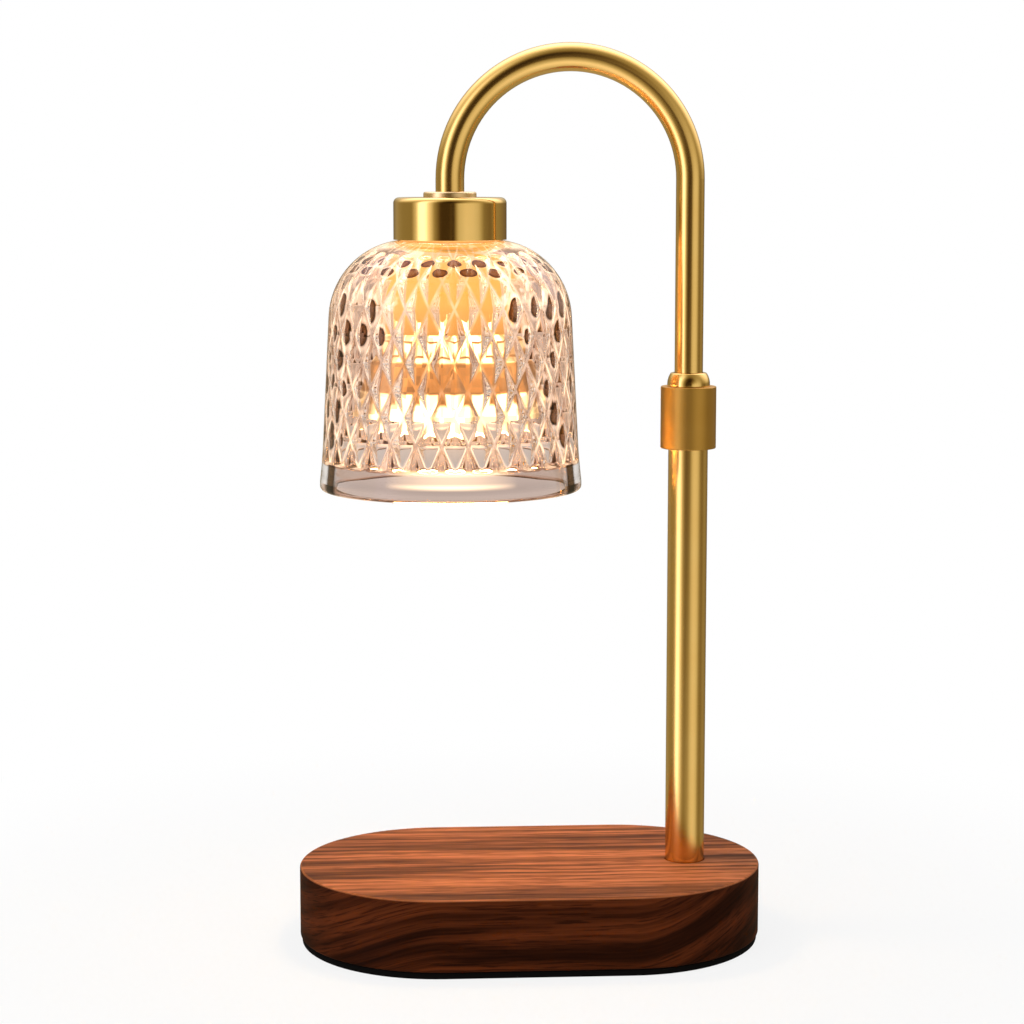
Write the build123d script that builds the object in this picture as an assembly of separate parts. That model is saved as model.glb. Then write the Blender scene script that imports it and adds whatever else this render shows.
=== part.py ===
"""Candle warmer lamp: a wooden base, a telescoping brass arch and a glass shade over a GU10 bulb.

Millimetres, +Z up. The origin is the middle of the base's underside. +X runs from the candle's
place to the post, and -Y faces the user. Heights above the wood are counted from WOOD_TOP.
"""

from build123d import *
import os
from math import cos, pi, radians, sin, sqrt, tan

# ---------------------------------------------------------------- fits
RUN_FIT = 0.05          # radial clearance of a part that turns or slides on another
THREAD_FIT = 0.03       # radial clearance left between two mating threads
LOOSE_FIT = 0.3         # radial clearance of a clearance hole
TOUCH_GAP = 0.05        # gap between two faces that rub when a joint moves

# ---------------------------------------------------------------- base
BASE_LENGTH = 165.0
BASE_DEPTH = 100.0
WOOD_THICKNESS = 25.5
WOOD_EDGE_ROUND = 1.0
PAD_THICKNESS = 2.5
PAD_INSET = 0.6
PAD_EDGE_ROUND = 0.6
PLATE_THICKNESS = 2.0
PLATE_INSET = 12.0
POCKET_DEPTH = 13.0     # wiring pocket, above the bottom plate
POCKET_HALF_WIDTH = 13.0
POCKET_END_ROOM = 4.0   # pocket beyond the parts that it holds
CORNER_ROUND = 4.0
PLATE_SCREW_FROM_END = 29.5
PLATE_SCREW_FROM_SIDE = 28.0
PLATE_SCREW_HEAD = 6.0
PLATE_SCREW_SHANK = 3.0
PLATE_SCREW_LENGTH = 14.0

# ---------------------------------------------------------------- post
POST_FROM_END = 26.5    # from the post's axis to the end of the base
POST_OD = 14.0
POST_WALL = 1.0
POST_TOP_ABOVE_WOOD = 158.0
POST_SOCKET_DEPTH = 6.0
POST_HOLE_GAP = 0.35    # dark ring round the tube where it enters the wood
FOOT_FLANGE = 1.5
FOOT_PLUG_LENGTH = 12.0
FOOT_THREAD_OD = 10.0
FOOT_THREAD_OVERHANG = 0.3
FOOT_BORE = 7.0
WASHER_OD = 22.0
WASHER_THICKNESS = 1.2
FOOT_NUT_FLATS = 14.0
FOOT_NUT_THICKNESS = 3.0

# ---------------------------------------------------------------- clamp at the top of the post
HEAD_OD = 16.4
HEAD_OVERLAP = 7.5      # sleeve of the head below the end of the post
HEAD_SEAT_HEIGHT = 8.0  # collet seat above the end of the post
SEAT_SMALL_WALL = 0.6   # collet wall at the small end of its cone
SEAT_TAPER = 1.5        # growth of the cone's radius over the seat
COLLET_PROUD = 0.8
COLLET_SLOT = 1.2
COLLAR_OD = 19.6
COLLAR_HEIGHT = 21.9
COLLAR_OVERLAP = 9.0    # collar below the end of the post
COLLAR_EDGE_ROUND = 0.35
GLAND_FLANGE = 1.5
GLAND_FLANGE_WALL = 1.1
GLAND_NOSE_BASE = 15.0
GLAND_NOSE_TOP = 12.5
GLAND_NOSE_RISE = 4.8   # how far the nose stands above the collar
GLAND_NOSE_BULGE = 0.45 # bow of the nose's side
GLAND_NOSE_ROUND = 0.7

# ---------------------------------------------------------------- neck
NECK_OD = 10.0
NECK_WALL = 1.1
ARCH_SPAN = 84.0
ARCH_CENTRE_ABOVE_WOOD = 243.3
HEIGHT_UP = 35.0        # how far the head can rise before the bush meets the post's head
STOP_GAP = 0.5
BUSH_LENGTH = 16.0
BUSH_LIP = 1.0
BUSH_LIP_BORE = 7.0

# ---------------------------------------------------------------- shade
SHADE_RIM_ABOVE_WOOD = 135.2
SHADE_HEIGHT = 87.3
SHADE_RIM_RADIUS = 46.0
SHADE_RIM_STRAIGHT = 3.0
SHADE_FLARE_TOP = 16.8
SHADE_TAPER = 3.0       # degrees
SHADE_DOME_RADIUS = 28.0
SHADE_FLAT_RADIUS = 14.5
SHADE_WALL = 4.2
SHADE_TOP_WALL = 4.0
SHADE_HOLE = 30.0
SHADE_INNER_FLAT = 19.0
SHADE_RIM_ROUND = 1.5
SHADE_RIM_INNER_ROUND = 1.0
SHADE_FLARE_BOW = 0.25  # how far the flare sags inside a straight cone
CROWN_BOW_OUT = 0.4     # the arch over the pattern, outside a straight slope
CROWN_BOW_UP = 0.5
BAND_HEIGHT = 10.4      # plain band under the cut pattern
PATTERN_COLUMNS = 28
PATTERN_ROWS = 8        # half diamonds from the band up to the shoulder
PATTERN_TOP = 79.8
PATTERN_RELIEF = 1.8    # from a ridge to the middle of a diamond

# ---------------------------------------------------------------- cap and lampholder
CAP_OD = 39.4
CAP_HEIGHT = 14.6
CAP_WALL = 1.2
CAP_ROUND = 2.0
CAP_GAP = 0.25          # cap over the glass
SEAT_RING_OD = 18.5
SEAT_RING_HEIGHT = 1.9
SEAT_RING_ROUND = 0.7
LOCK_WASHER_OD = 16.0
LOCK_WASHER_THICKNESS = 0.8
CAP_NUT_FLATS = 14.0
CAP_NUT_THICKNESS = 3.0
GASKET_THICKNESS = 0.8
GASKET_WIDTH = 2.3
HOLDER_OD = 29.4
HOLDER_FLANGE_OD = 35.0
HOLDER_FLANGE = 3.0
HOLDER_BOSS_OD = 16.0
HOLDER_BOSS = 5.4
HOLDER_LIP = 1.2
HOLDER_LIP_BORE = 7.0
HOLDER_BODY_HEIGHT = 17.3
HOLDER_CHAMBER_OD = 21.6
HOLDER_CHAMBER_DEPTH = 8.8
HOLDER_FACE = 2.0       # thickness of the keyhole plate
HOLDER_EDGE_ROUND = 0.8
HOLDER_SCREW_RADIUS = 12.8
HOLDER_SCREW_OD = 2.0
HOLDER_SCREW_LENGTH = 9.0
HOLDER_SCREW_HEAD = 3.6
HOLDER_SCREW_HEAD_HEIGHT = 1.4
SHADE_RING_OD = 36.0
SHADE_RING_HEIGHT = 4.0
SHADE_RING_NOTCHES = 12
SHADE_RING_NOTCH = 2.4

# ---------------------------------------------------------------- GU10 bulb
PIN_PITCH = 10.0
PIN_STEM = 3.2
PIN_HEAD = 5.0
PIN_HEAD_HEIGHT = 4.4
PIN_HEAD_ROUND = 0.6
PIN_REST_ANGLE = -90.0  # place of the first pin when locked, degrees round the bulb
PIN_LOCK_ANGLE = 30.0   # twist from insertion to lock, degrees
PIN_SLOT_OVERLAP = 0.5
PIN_CLEARANCE = 0.2
PIN_ROOT = 1.8
BULB_GAP = 0.2          # base of the bulb under the holder's face
BULB_BASE_TOP_RADIUS = 11.5
BULB_BASE_RADIUS = 14.2
BULB_BASE_HEIGHT = 15.0
BULB_NECK_SEAT = 1.8    # depth of the reflector's neck, and of the capsule, in the base
BULB_NECK_SLOPE = 1.1   # growth of the reflector's radius per millimetre below its neck
BULB_LENGTH = 46.5      # from the shoulder of the base to the front of the rim
BULB_RADIUS = 25.0
BULB_RIM = 4.0
BULB_SHELL = 1.2
BULB_NECK_RADIUS = 11.0
BULB_WAIST_RADIUS = 20.0
BULB_WAIST = 0.52       # place of the waist between rim and neck
LENS_THICKNESS = 1.6
LENS_SEAT = 1.0
CAPSULE_RADIUS = 4.6
CAPSULE_LENGTH = 22.0
CAPSULE_WALL = 0.8
CAPSULE_PINCH = 4.0     # solid top of the capsule, in the base
FILAMENT_WIRE = 0.3
FILAMENT_WIDTH = 4.0
FILAMENT_HEIGHT = 7.0

# ---------------------------------------------------------------- wiring
WIRE_OD = 2.0
WIRE_OFFSET = 2.0       # each wire's distance from the tube's centre line
WIRE_BEND = 4.0
WIRE_BEND_EASE = 0.2    # how much tighter the bend under the foot is, to clear its end
WIRE_JOG_START = 8.75   # where the wires begin to spread, from the connector
WIRE_JOG_END = 2.5
WIRE_END_GAP = 1.0      # from the middle of the connector to the end of a wire
CONTACT_LEAF = 0.6
CONTACT_LEAF_LENGTH = 7.0
CONTACT_LEAF_WIDTH = 5.0
CONTACT_TAB_HEIGHT = 4.5
CONTACT_DIMPLE = 2.0
BLOCK_LENGTH = 20.0
BLOCK_WIDTH = 18.0
BLOCK_HEIGHT = 12.0
BLOCK_PITCH = 9.0
BLOCK_BORE = 2.6
BLOCK_EDGE_ROUND = 1.0
BLOCK_TO_POST = 16.0    # from the post's axis to the terminal block
BLOCK_SCREW_OD = 3.0
BLOCK_SCREW_SPREAD = 11.0
BLOCK_FIX_HEAD = 5.0
BLOCK_FIX_SHANK = 2.4
BLOCK_FIX_LENGTH = 16.0
BLOCK_FIX_RECESS = 2.0
INLET_TO_POST = 32.0    # from the post's axis to the cord inlet
INLET_BORE = 5.8
GROMMET_FLANGE_OD = 11.0
GROMMET_FLANGE = 5.0
GROMMET_NECK_OD = 8.0
GROMMET_NECK = 10.0
GROMMET_ROUND = 0.8

# ---------------------------------------------------------------- levels that follow
PLATE_ROOF = PAD_THICKNESS + PLATE_THICKNESS
POCKET_ROOF = PLATE_ROOF + POCKET_DEPTH
WOOD_TOP = PAD_THICKNESS + WOOD_THICKNESS
POST_X = BASE_LENGTH / 2 - POST_FROM_END
INLET_X = POST_X - INLET_TO_POST
PLATE_SCREW_X = BASE_LENGTH / 2 - PLATE_SCREW_FROM_END
PLATE_SCREW_Y = BASE_DEPTH / 2 - PLATE_SCREW_FROM_SIDE
SOCKET_FLOOR = WOOD_TOP - POST_SOCKET_DEPTH
POST_BOTTOM = SOCKET_FLOOR + FOOT_FLANGE
POST_TOP = WOOD_TOP + POST_TOP_ABOVE_WOOD
POST_ID = POST_OD - 2 * POST_WALL
NUT_BOTTOM = POCKET_ROOF - WASHER_THICKNESS - FOOT_NUT_THICKNESS
THREAD_END = NUT_BOTTOM - FOOT_THREAD_OVERHANG
WIRE_LEVEL = THREAD_END - WIRE_BEND

HEAD_BOTTOM = POST_TOP - HEAD_OVERLAP
HEAD_TOP = POST_TOP + HEAD_SEAT_HEIGHT
SEAT_SMALL = NECK_OD / 2 + SEAT_SMALL_WALL
SEAT_LARGE = SEAT_SMALL + SEAT_TAPER
COLLET_TOP = HEAD_TOP + COLLET_PROUD
GLAND_BOTTOM = COLLET_TOP + TOUCH_GAP
GLAND_SHOULDER = GLAND_BOTTOM + GLAND_FLANGE
COLLAR_BOTTOM = POST_TOP - COLLAR_OVERLAP
COLLAR_TOP = COLLAR_BOTTOM + COLLAR_HEIGHT
GLAND_FLANGE_RADIUS = COLLAR_OD / 2 - GLAND_FLANGE_WALL - RUN_FIT

NECK_ID = NECK_OD - 2 * NECK_WALL
SHADE_X = POST_X - ARCH_SPAN
ARCH_CENTRE = WOOD_TOP + ARCH_CENTRE_ABOVE_WOOD
BUSH_TOP = POST_TOP - STOP_GAP - HEIGHT_UP
NECK_BOTTOM = BUSH_TOP - BUSH_LENGTH + BUSH_LIP
BUSH_BOTTOM = BUSH_TOP - BUSH_LENGTH

SHADE_RIM = WOOD_TOP + SHADE_RIM_ABOVE_WOOD
SHADE_TOP = SHADE_RIM + SHADE_HEIGHT
GASKET_TOP = SHADE_TOP + GASKET_THICKNESS
GLASS_UNDER = SHADE_TOP - SHADE_TOP_WALL
HOLDER_FLANGE_TOP = GASKET_TOP + HOLDER_FLANGE
HOLDER_BOSS_TOP = HOLDER_FLANGE_TOP + HOLDER_BOSS
HOLDER_FACE_Z = GASKET_TOP - HOLDER_BODY_HEIGHT
CHAMBER_FLOOR = GASKET_TOP - HOLDER_CHAMBER_DEPTH
NECK_END = GASKET_TOP + HOLDER_LIP
CAP_INNER_EDGE = CAP_OD / 2 - CAP_WALL
DOME_CENTRE = SHADE_HEIGHT - SHADE_DOME_RADIUS
CAP_SEAT_DROP = SHADE_DOME_RADIUS - sqrt(
    SHADE_DOME_RADIUS**2 - (CAP_INNER_EDGE - SHADE_FLAT_RADIUS) ** 2
)
CAP_BOTTOM = SHADE_TOP - CAP_SEAT_DROP + CAP_GAP
CAP_TOP = CAP_BOTTOM + CAP_HEIGHT

BULB_SHOULDER = HOLDER_FACE_Z - BULB_GAP
BULB_FRONT = BULB_SHOULDER - BULB_LENGTH
BULB_BASE_BOTTOM = BULB_SHOULDER - BULB_BASE_HEIGHT
CAPSULE_TOP = BULB_BASE_BOTTOM + 2 * BULB_NECK_SEAT


# ---------------------------------------------------------------- helpers
def at(x, y, z):
    """Place a shape that was drawn round the Z axis."""
    return Pos(x, y, z)


def disc(radius, bottom, top, x=0.0, y=0.0):
    """A solid cylinder between two heights."""
    return at(x, y, bottom) * Cylinder(
        radius, top - bottom, align=(Align.CENTER, Align.CENTER, Align.MIN)
    )


def ring(outer, inner, bottom, top, x=0.0, y=0.0):
    """A cylinder with a bore right through it."""
    return disc(outer, bottom, top, x, y) - disc(inner, bottom - 1, top + 1, x, y)


def block(x0, x1, y0, y1, z0, z1):
    """A box given by its limits."""
    return at((x0 + x1) / 2, (y0 + y1) / 2, (z0 + z1) / 2) * Box(x1 - x0, y1 - y0, z1 - z0)


def stadium(length, depth, bottom, top):
    """A flat bar with fully round ends."""
    return at(0, 0, bottom) * extrude(SlotOverall(length, depth), top - bottom)


def hexagon(flats, bottom, top, x=0.0):
    """A hexagonal bar, as wide as a spanner that fits it."""
    outline = RegularPolygon(flats / 2, 6, major_radius=False)
    return at(x, 0, bottom) * extrude(outline, top - bottom)


def turned(profile, x=0.0):
    """Turn a closed outline, drawn as radius and height, round a vertical axis at x."""
    face = make_face(Plane.XZ * profile)
    return at(x, 0, 0) * revolve(face, Axis.Z)


def closed(*points):
    """A closed outline of straight lines."""
    return Polyline(*points, close=True)


def edges_at(shape, height):
    """The edges that lie wholly at one height."""
    return shape.edges().filter_by_position(Axis.Z, height - 0.01, height + 0.01)


def group(*solids):
    """Several separate solids in one part."""
    return Compound(children=[solid for shape in solids for solid in shape.solids()])


def swept_disc(radius, path):
    """A round bar along a path."""
    return sweep(Plane(origin=path @ 0, z_dir=path % 0) * Circle(radius), path=path)


# ---------------------------------------------------------------- base
POCKET_X0 = POST_X - BLOCK_TO_POST - BLOCK_LENGTH - POCKET_END_ROOM
POCKET_X1 = POST_X + WASHER_OD / 2 + POCKET_END_ROOM / 2
BLOCK_X1 = POST_X - BLOCK_TO_POST
BLOCK_X0 = BLOCK_X1 - BLOCK_LENGTH
BLOCK_MID = (BLOCK_X0 + BLOCK_X1) / 2
BLOCK_BOTTOM = POCKET_ROOF - BLOCK_HEIGHT
BACK = BASE_DEPTH / 2
INLET_Z = (PLATE_ROOF + POCKET_ROOF) / 2


def plate_screw_places():
    return [(sx * PLATE_SCREW_X, sy * PLATE_SCREW_Y) for sx in (-1, 1) for sy in (-1, 1)]


def across(radius, near, far, x, z):
    """A cylinder that runs front to back."""
    return at(x, near, z) * (
        Rot(-90, 0, 0) * Cylinder(radius, far - near, align=(Align.CENTER, Align.CENTER, Align.MIN))
    )


def base_block():
    """Walnut block, hollowed from below for the plate, the wiring and the foot of the post."""
    wood = stadium(BASE_LENGTH, BASE_DEPTH, PAD_THICKNESS, WOOD_TOP)
    wood = fillet(edges_at(wood, WOOD_TOP) + edges_at(wood, PAD_THICKNESS), WOOD_EDGE_ROUND)
    wood -= stadium(
        BASE_LENGTH - 2 * PLATE_INSET + 2 * LOOSE_FIT,
        BASE_DEPTH - 2 * PLATE_INSET + 2 * LOOSE_FIT,
        PAD_THICKNESS - 1,
        PLATE_ROOF,
    )
    pocket = block(
        POCKET_X0, POCKET_X1, -POCKET_HALF_WIDTH, POCKET_HALF_WIDTH, PLATE_ROOF - 1, POCKET_ROOF
    )
    wood -= fillet(pocket.edges().filter_by(Axis.Z), CORNER_ROUND)
    wood -= disc(POST_OD / 2 + POST_HOLE_GAP, SOCKET_FLOOR, WOOD_TOP + 1, POST_X)
    wood -= disc(FOOT_THREAD_OD / 2 + LOOSE_FIT, POCKET_ROOF - 1, SOCKET_FLOOR + 1, POST_X)
    neck = GROMMET_NECK_OD / 2 + THREAD_FIT
    flange = GROMMET_FLANGE_OD / 2 + THREAD_FIT
    wood -= across(neck, 0, BACK + 1, INLET_X, INLET_Z)
    wood -= across(flange, BACK - GROMMET_FLANGE, BACK + 1, INLET_X, INLET_Z)
    for x, y in plate_screw_places():
        wood -= disc(
            PLATE_SCREW_SHANK / 2 + THREAD_FIT,
            PAD_THICKNESS,
            PAD_THICKNESS + PLATE_SCREW_LENGTH + 1,
            x,
            y,
        )
    wood -= disc(
        BLOCK_FIX_SHANK / 2 + THREAD_FIT,
        POCKET_ROOF - 1,
        BLOCK_BOTTOM + BLOCK_FIX_RECESS + BLOCK_FIX_LENGTH + 1,
        BLOCK_MID,
    )
    return wood


def plate_screw(x, y, extra=0.0):
    """A countersunk screw, head down; extra widens it into the hole that it needs."""
    head = PLATE_SCREW_HEAD / 2 + extra
    shank = PLATE_SCREW_SHANK / 2 + extra
    bottom = PAD_THICKNESS
    sink = PLATE_SCREW_HEAD / 2 - PLATE_SCREW_SHANK / 2
    screw = turned(
        closed(
            (0, bottom),
            (head, bottom),
            (shank, bottom + sink),
            (shank, bottom + PLATE_SCREW_LENGTH),
            (0, bottom + PLATE_SCREW_LENGTH),
        )
    )
    return at(x, y, 0) * screw


def base_plate():
    """Steel plate that closes the wiring pocket and weighs the base down."""
    plate = stadium(
        BASE_LENGTH - 2 * PLATE_INSET, BASE_DEPTH - 2 * PLATE_INSET, PAD_THICKNESS, PLATE_ROOF
    )
    for x, y in plate_screw_places():
        plate -= plate_screw(x, y, THREAD_FIT)
    return plate


def plate_screws():
    return group(*[plate_screw(x, y) for x, y in plate_screw_places()])


def base_pad():
    """Soft non-slip sheet under the whole base."""
    pad = stadium(BASE_LENGTH - 2 * PAD_INSET, BASE_DEPTH - 2 * PAD_INSET, 0, PAD_THICKNESS)
    return fillet(edges_at(pad, 0), PAD_EDGE_ROUND)


def cord_grommet():
    """Rubber bush in the back of the base, flush with the wood, where the cord goes in."""
    outline = closed(
        (INLET_BORE / 2, 0),
        (GROMMET_FLANGE_OD / 2, 0),
        (GROMMET_FLANGE_OD / 2, GROMMET_FLANGE),
        (GROMMET_NECK_OD / 2, GROMMET_FLANGE),
        (GROMMET_NECK_OD / 2, GROMMET_FLANGE + GROMMET_NECK),
        (INLET_BORE / 2, GROMMET_FLANGE + GROMMET_NECK),
    )
    bush = turned(outline)
    mouth = edges_at(bush, 0).sort_by(SortBy.LENGTH)[0]
    bush = fillet(mouth, GROMMET_ROUND)
    return at(INLET_X, BACK, INLET_Z) * (Rot(90, 0, 0) * bush)


def terminal_block():
    """Two-way nylon connector on the roof of the pocket, its screws facing down."""
    body = block(
        BLOCK_X0, BLOCK_X1, -BLOCK_WIDTH / 2, BLOCK_WIDTH / 2, BLOCK_BOTTOM, POCKET_ROOF
    )
    body = fillet(body.edges().filter_by(Axis.Z), BLOCK_EDGE_ROUND)
    for side in (-1, 1):
        y = side * BLOCK_PITCH / 2
        body -= swept_disc(
            BLOCK_BORE / 2, Line((BLOCK_X0 - 1, y, WIRE_LEVEL), (BLOCK_X1 + 1, y, WIRE_LEVEL))
        )
        for x in block_screw_xs():
            body -= disc(BLOCK_SCREW_OD / 2 + THREAD_FIT, BLOCK_BOTTOM - 1, WIRE_LEVEL, x, y)
    body -= disc(BLOCK_FIX_SHANK / 2 + THREAD_FIT, BLOCK_BOTTOM - 1, POCKET_ROOF + 1, BLOCK_MID)
    body -= disc(
        BLOCK_FIX_HEAD / 2 + LOOSE_FIT, BLOCK_BOTTOM - 1, BLOCK_BOTTOM + BLOCK_FIX_RECESS, BLOCK_MID
    )
    return body


def block_screw_xs():
    return [BLOCK_MID - BLOCK_SCREW_SPREAD / 2, BLOCK_MID + BLOCK_SCREW_SPREAD / 2]


def terminal_screws():
    """Four grub screws that press on the wires."""
    return group(
        *[
            disc(
                BLOCK_SCREW_OD / 2,
                BLOCK_BOTTOM + TOUCH_GAP,
                WIRE_LEVEL - WIRE_OD / 2 - TOUCH_GAP,
                x,
                side * BLOCK_PITCH / 2,
            )
            for x in block_screw_xs()
            for side in (-1, 1)
        ]
    )


def block_screw():
    """Wood screw that holds the connector to the roof of the pocket."""
    seat = BLOCK_BOTTOM + BLOCK_FIX_RECESS
    head = disc(BLOCK_FIX_HEAD / 2, BLOCK_BOTTOM + TOUCH_GAP, seat, BLOCK_MID)
    return head + disc(BLOCK_FIX_SHANK / 2, seat, seat + BLOCK_FIX_LENGTH, BLOCK_MID)


# ---------------------------------------------------------------- post
def post_foot():
    """Brass foot: a plug in the tube, a flange under it and a hollow thread down into the pocket."""
    foot = disc(POST_ID / 2 - THREAD_FIT, POST_BOTTOM, POST_BOTTOM + FOOT_PLUG_LENGTH, POST_X)
    foot += disc(POST_OD / 2, SOCKET_FLOOR, POST_BOTTOM, POST_X)
    foot += disc(FOOT_THREAD_OD / 2, THREAD_END, SOCKET_FLOOR, POST_X)
    return foot - disc(FOOT_BORE / 2, THREAD_END - 1, POST_TOP, POST_X)


def post_washer():
    return ring(
        WASHER_OD / 2,
        FOOT_THREAD_OD / 2 + LOOSE_FIT,
        POCKET_ROOF - WASHER_THICKNESS,
        POCKET_ROOF,
        POST_X,
    )


def post_nut():
    nut = hexagon(FOOT_NUT_FLATS, NUT_BOTTOM, NUT_BOTTOM + FOOT_NUT_THICKNESS, POST_X)
    return nut - disc(FOOT_THREAD_OD / 2 + THREAD_FIT, NUT_BOTTOM - 1, POCKET_ROOF, POST_X)


def post_tube():
    return ring(POST_OD / 2, POST_ID / 2, POST_BOTTOM, POST_TOP, POST_X)


def post_head():
    """Threaded brass head over the end of the post, with the collet's conical seat."""
    head = disc(HEAD_OD / 2, HEAD_BOTTOM, HEAD_TOP, POST_X)
    head -= disc(POST_OD / 2 + THREAD_FIT, HEAD_BOTTOM - 1, POST_TOP, POST_X)
    seat = closed(
        (0, POST_TOP - 1),
        (SEAT_SMALL, POST_TOP - 1),
        (SEAT_SMALL, POST_TOP),
        (SEAT_LARGE, HEAD_TOP),
        (SEAT_LARGE, HEAD_TOP + 1),
        (0, HEAD_TOP + 1),
    )
    return head - turned(seat, POST_X)


def grip_collet():
    """Split nylon cone that grips the neck when the collar presses it into its seat."""
    slope = SEAT_TAPER / HEAD_SEAT_HEIGHT
    bottom = POST_TOP + TOUCH_GAP
    small = SEAT_SMALL - RUN_FIT
    large = small + slope * HEAD_SEAT_HEIGHT
    bore = NECK_OD / 2 + RUN_FIT
    cone = turned(
        closed(
            (bore, bottom),
            (small, bottom),
            (large, HEAD_TOP),
            (large, COLLET_TOP),
            (bore, COLLET_TOP),
        ),
        POST_X,
    )
    split = block(
        POST_X - COLLAR_OD,
        POST_X,
        -COLLET_SLOT / 2,
        COLLET_SLOT / 2,
        bottom - 1,
        COLLET_TOP + 1,
    )
    return cone - split


def gland_ring():
    """Domed ring that the collar pushes down on the collet; its nose shows above the collar."""
    bore = NECK_OD / 2 + 3 * RUN_FIT
    foot = (GLAND_NOSE_BASE / 2, COLLAR_TOP)
    tip = (GLAND_NOSE_TOP / 2, COLLAR_TOP + GLAND_NOSE_RISE)
    bow = ((foot[0] + tip[0]) / 2 + GLAND_NOSE_BULGE, (foot[1] + tip[1]) / 2)
    outline = Wire(
        [
            Line((bore, GLAND_BOTTOM), (GLAND_FLANGE_RADIUS, GLAND_BOTTOM)),
            Line((GLAND_FLANGE_RADIUS, GLAND_BOTTOM), (GLAND_FLANGE_RADIUS, GLAND_SHOULDER)),
            Line((GLAND_FLANGE_RADIUS, GLAND_SHOULDER), (foot[0], GLAND_SHOULDER)),
            Line((foot[0], GLAND_SHOULDER), foot),
            ThreePointArc(foot, bow, tip),
            Line(tip, (bore, tip[1])),
            Line((bore, tip[1]), (bore, GLAND_BOTTOM)),
        ]
    )
    gland = turned(outline, POST_X)
    return fillet(edges_at(gland, tip[1]).sort_by(SortBy.LENGTH)[-1], GLAND_NOSE_ROUND)


def lock_collar():
    """Turned brass collar: screwed down, it presses the gland ring on the collet."""
    outer = COLLAR_OD / 2
    thread = HEAD_OD / 2 + RUN_FIT
    cavity = GLAND_FLANGE_RADIUS + RUN_FIT
    lip = GLAND_NOSE_BASE / 2 + RUN_FIT
    collar = disc(outer, COLLAR_BOTTOM, COLLAR_TOP, POST_X)
    rims = edges_at(collar, COLLAR_BOTTOM) + edges_at(collar, COLLAR_TOP)
    collar = fillet(rims, COLLAR_EDGE_ROUND)
    collar -= disc(thread, COLLAR_BOTTOM - 1, HEAD_TOP + TOUCH_GAP, POST_X)
    collar -= disc(cavity, HEAD_TOP, GLAND_SHOULDER + TOUCH_GAP, POST_X)
    return collar - disc(lip, HEAD_TOP, COLLAR_TOP + 1, POST_X)


# ---------------------------------------------------------------- neck
def arch_path(offset_y=0.0, bottom=NECK_BOTTOM, end=NECK_END):
    """Up from the post, over the half circle and down to the lampholder."""
    radius = ARCH_SPAN / 2
    rise = Line((POST_X, offset_y, bottom), (POST_X, offset_y, ARCH_CENTRE))
    over = ThreePointArc(
        (POST_X, offset_y, ARCH_CENTRE),
        (POST_X - radius, offset_y, ARCH_CENTRE + radius),
        (SHADE_X, offset_y, ARCH_CENTRE),
    )
    fall = Line((SHADE_X, offset_y, ARCH_CENTRE), (SHADE_X, offset_y, end))
    return Wire([rise, over, fall])


def neck_tube():
    """Bent brass tube; its far end is threaded for the cap nut and the lampholder."""
    outer = swept_disc(NECK_OD / 2, arch_path())
    return outer - swept_disc(NECK_ID / 2, arch_path(bottom=NECK_BOTTOM - 1, end=NECK_END - 1))


def neck_bush():
    """Nylon guide on the lower end of the neck, which slides in the post and stops at its head."""
    bush = ring(POST_ID / 2 - RUN_FIT, NECK_OD / 2 + THREAD_FIT, NECK_BOTTOM, BUSH_TOP, POST_X)
    return bush + ring(POST_ID / 2 - RUN_FIT, BUSH_LIP_BORE / 2, BUSH_BOTTOM, NECK_BOTTOM, POST_X)


# ---------------------------------------------------------------- cap
def seat_ring():
    """Ring brazed round the neck, which the cap is pulled up against."""
    body = ring(
        SEAT_RING_OD / 2, NECK_OD / 2 + THREAD_FIT, CAP_TOP, CAP_TOP + SEAT_RING_HEIGHT, SHADE_X
    )
    rim = edges_at(body, CAP_TOP + SEAT_RING_HEIGHT).sort_by(SortBy.LENGTH)[-1]
    return fillet(rim, SEAT_RING_ROUND)


def head_cap():
    """Turned brass cup that hides the lampholder's flange."""
    cup = disc(CAP_OD / 2, CAP_BOTTOM, CAP_TOP, SHADE_X)
    cup = fillet(edges_at(cup, CAP_TOP), CAP_ROUND)
    hollow = disc(CAP_INNER_EDGE, CAP_BOTTOM - 1, CAP_TOP - CAP_WALL, SHADE_X)
    cup -= fillet(edges_at(hollow, CAP_TOP - CAP_WALL), CAP_ROUND - CAP_WALL)
    return cup - disc(NECK_OD / 2 + THREAD_FIT, CAP_BOTTOM, CAP_TOP + 1, SHADE_X)


def cap_washer():
    top = CAP_TOP - CAP_WALL
    return ring(
        LOCK_WASHER_OD / 2, NECK_OD / 2 + THREAD_FIT, top - LOCK_WASHER_THICKNESS, top, SHADE_X
    )


def cap_nut():
    top = CAP_TOP - CAP_WALL - LOCK_WASHER_THICKNESS
    nut = hexagon(CAP_NUT_FLATS, top - CAP_NUT_THICKNESS, top, SHADE_X)
    return nut - disc(NECK_OD / 2 + THREAD_FIT, top - CAP_NUT_THICKNESS - 1, top + 1, SHADE_X)


# ---------------------------------------------------------------- lampholder
def holder_screw_xs():
    return [-HOLDER_SCREW_RADIUS, HOLDER_SCREW_RADIUS]


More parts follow.
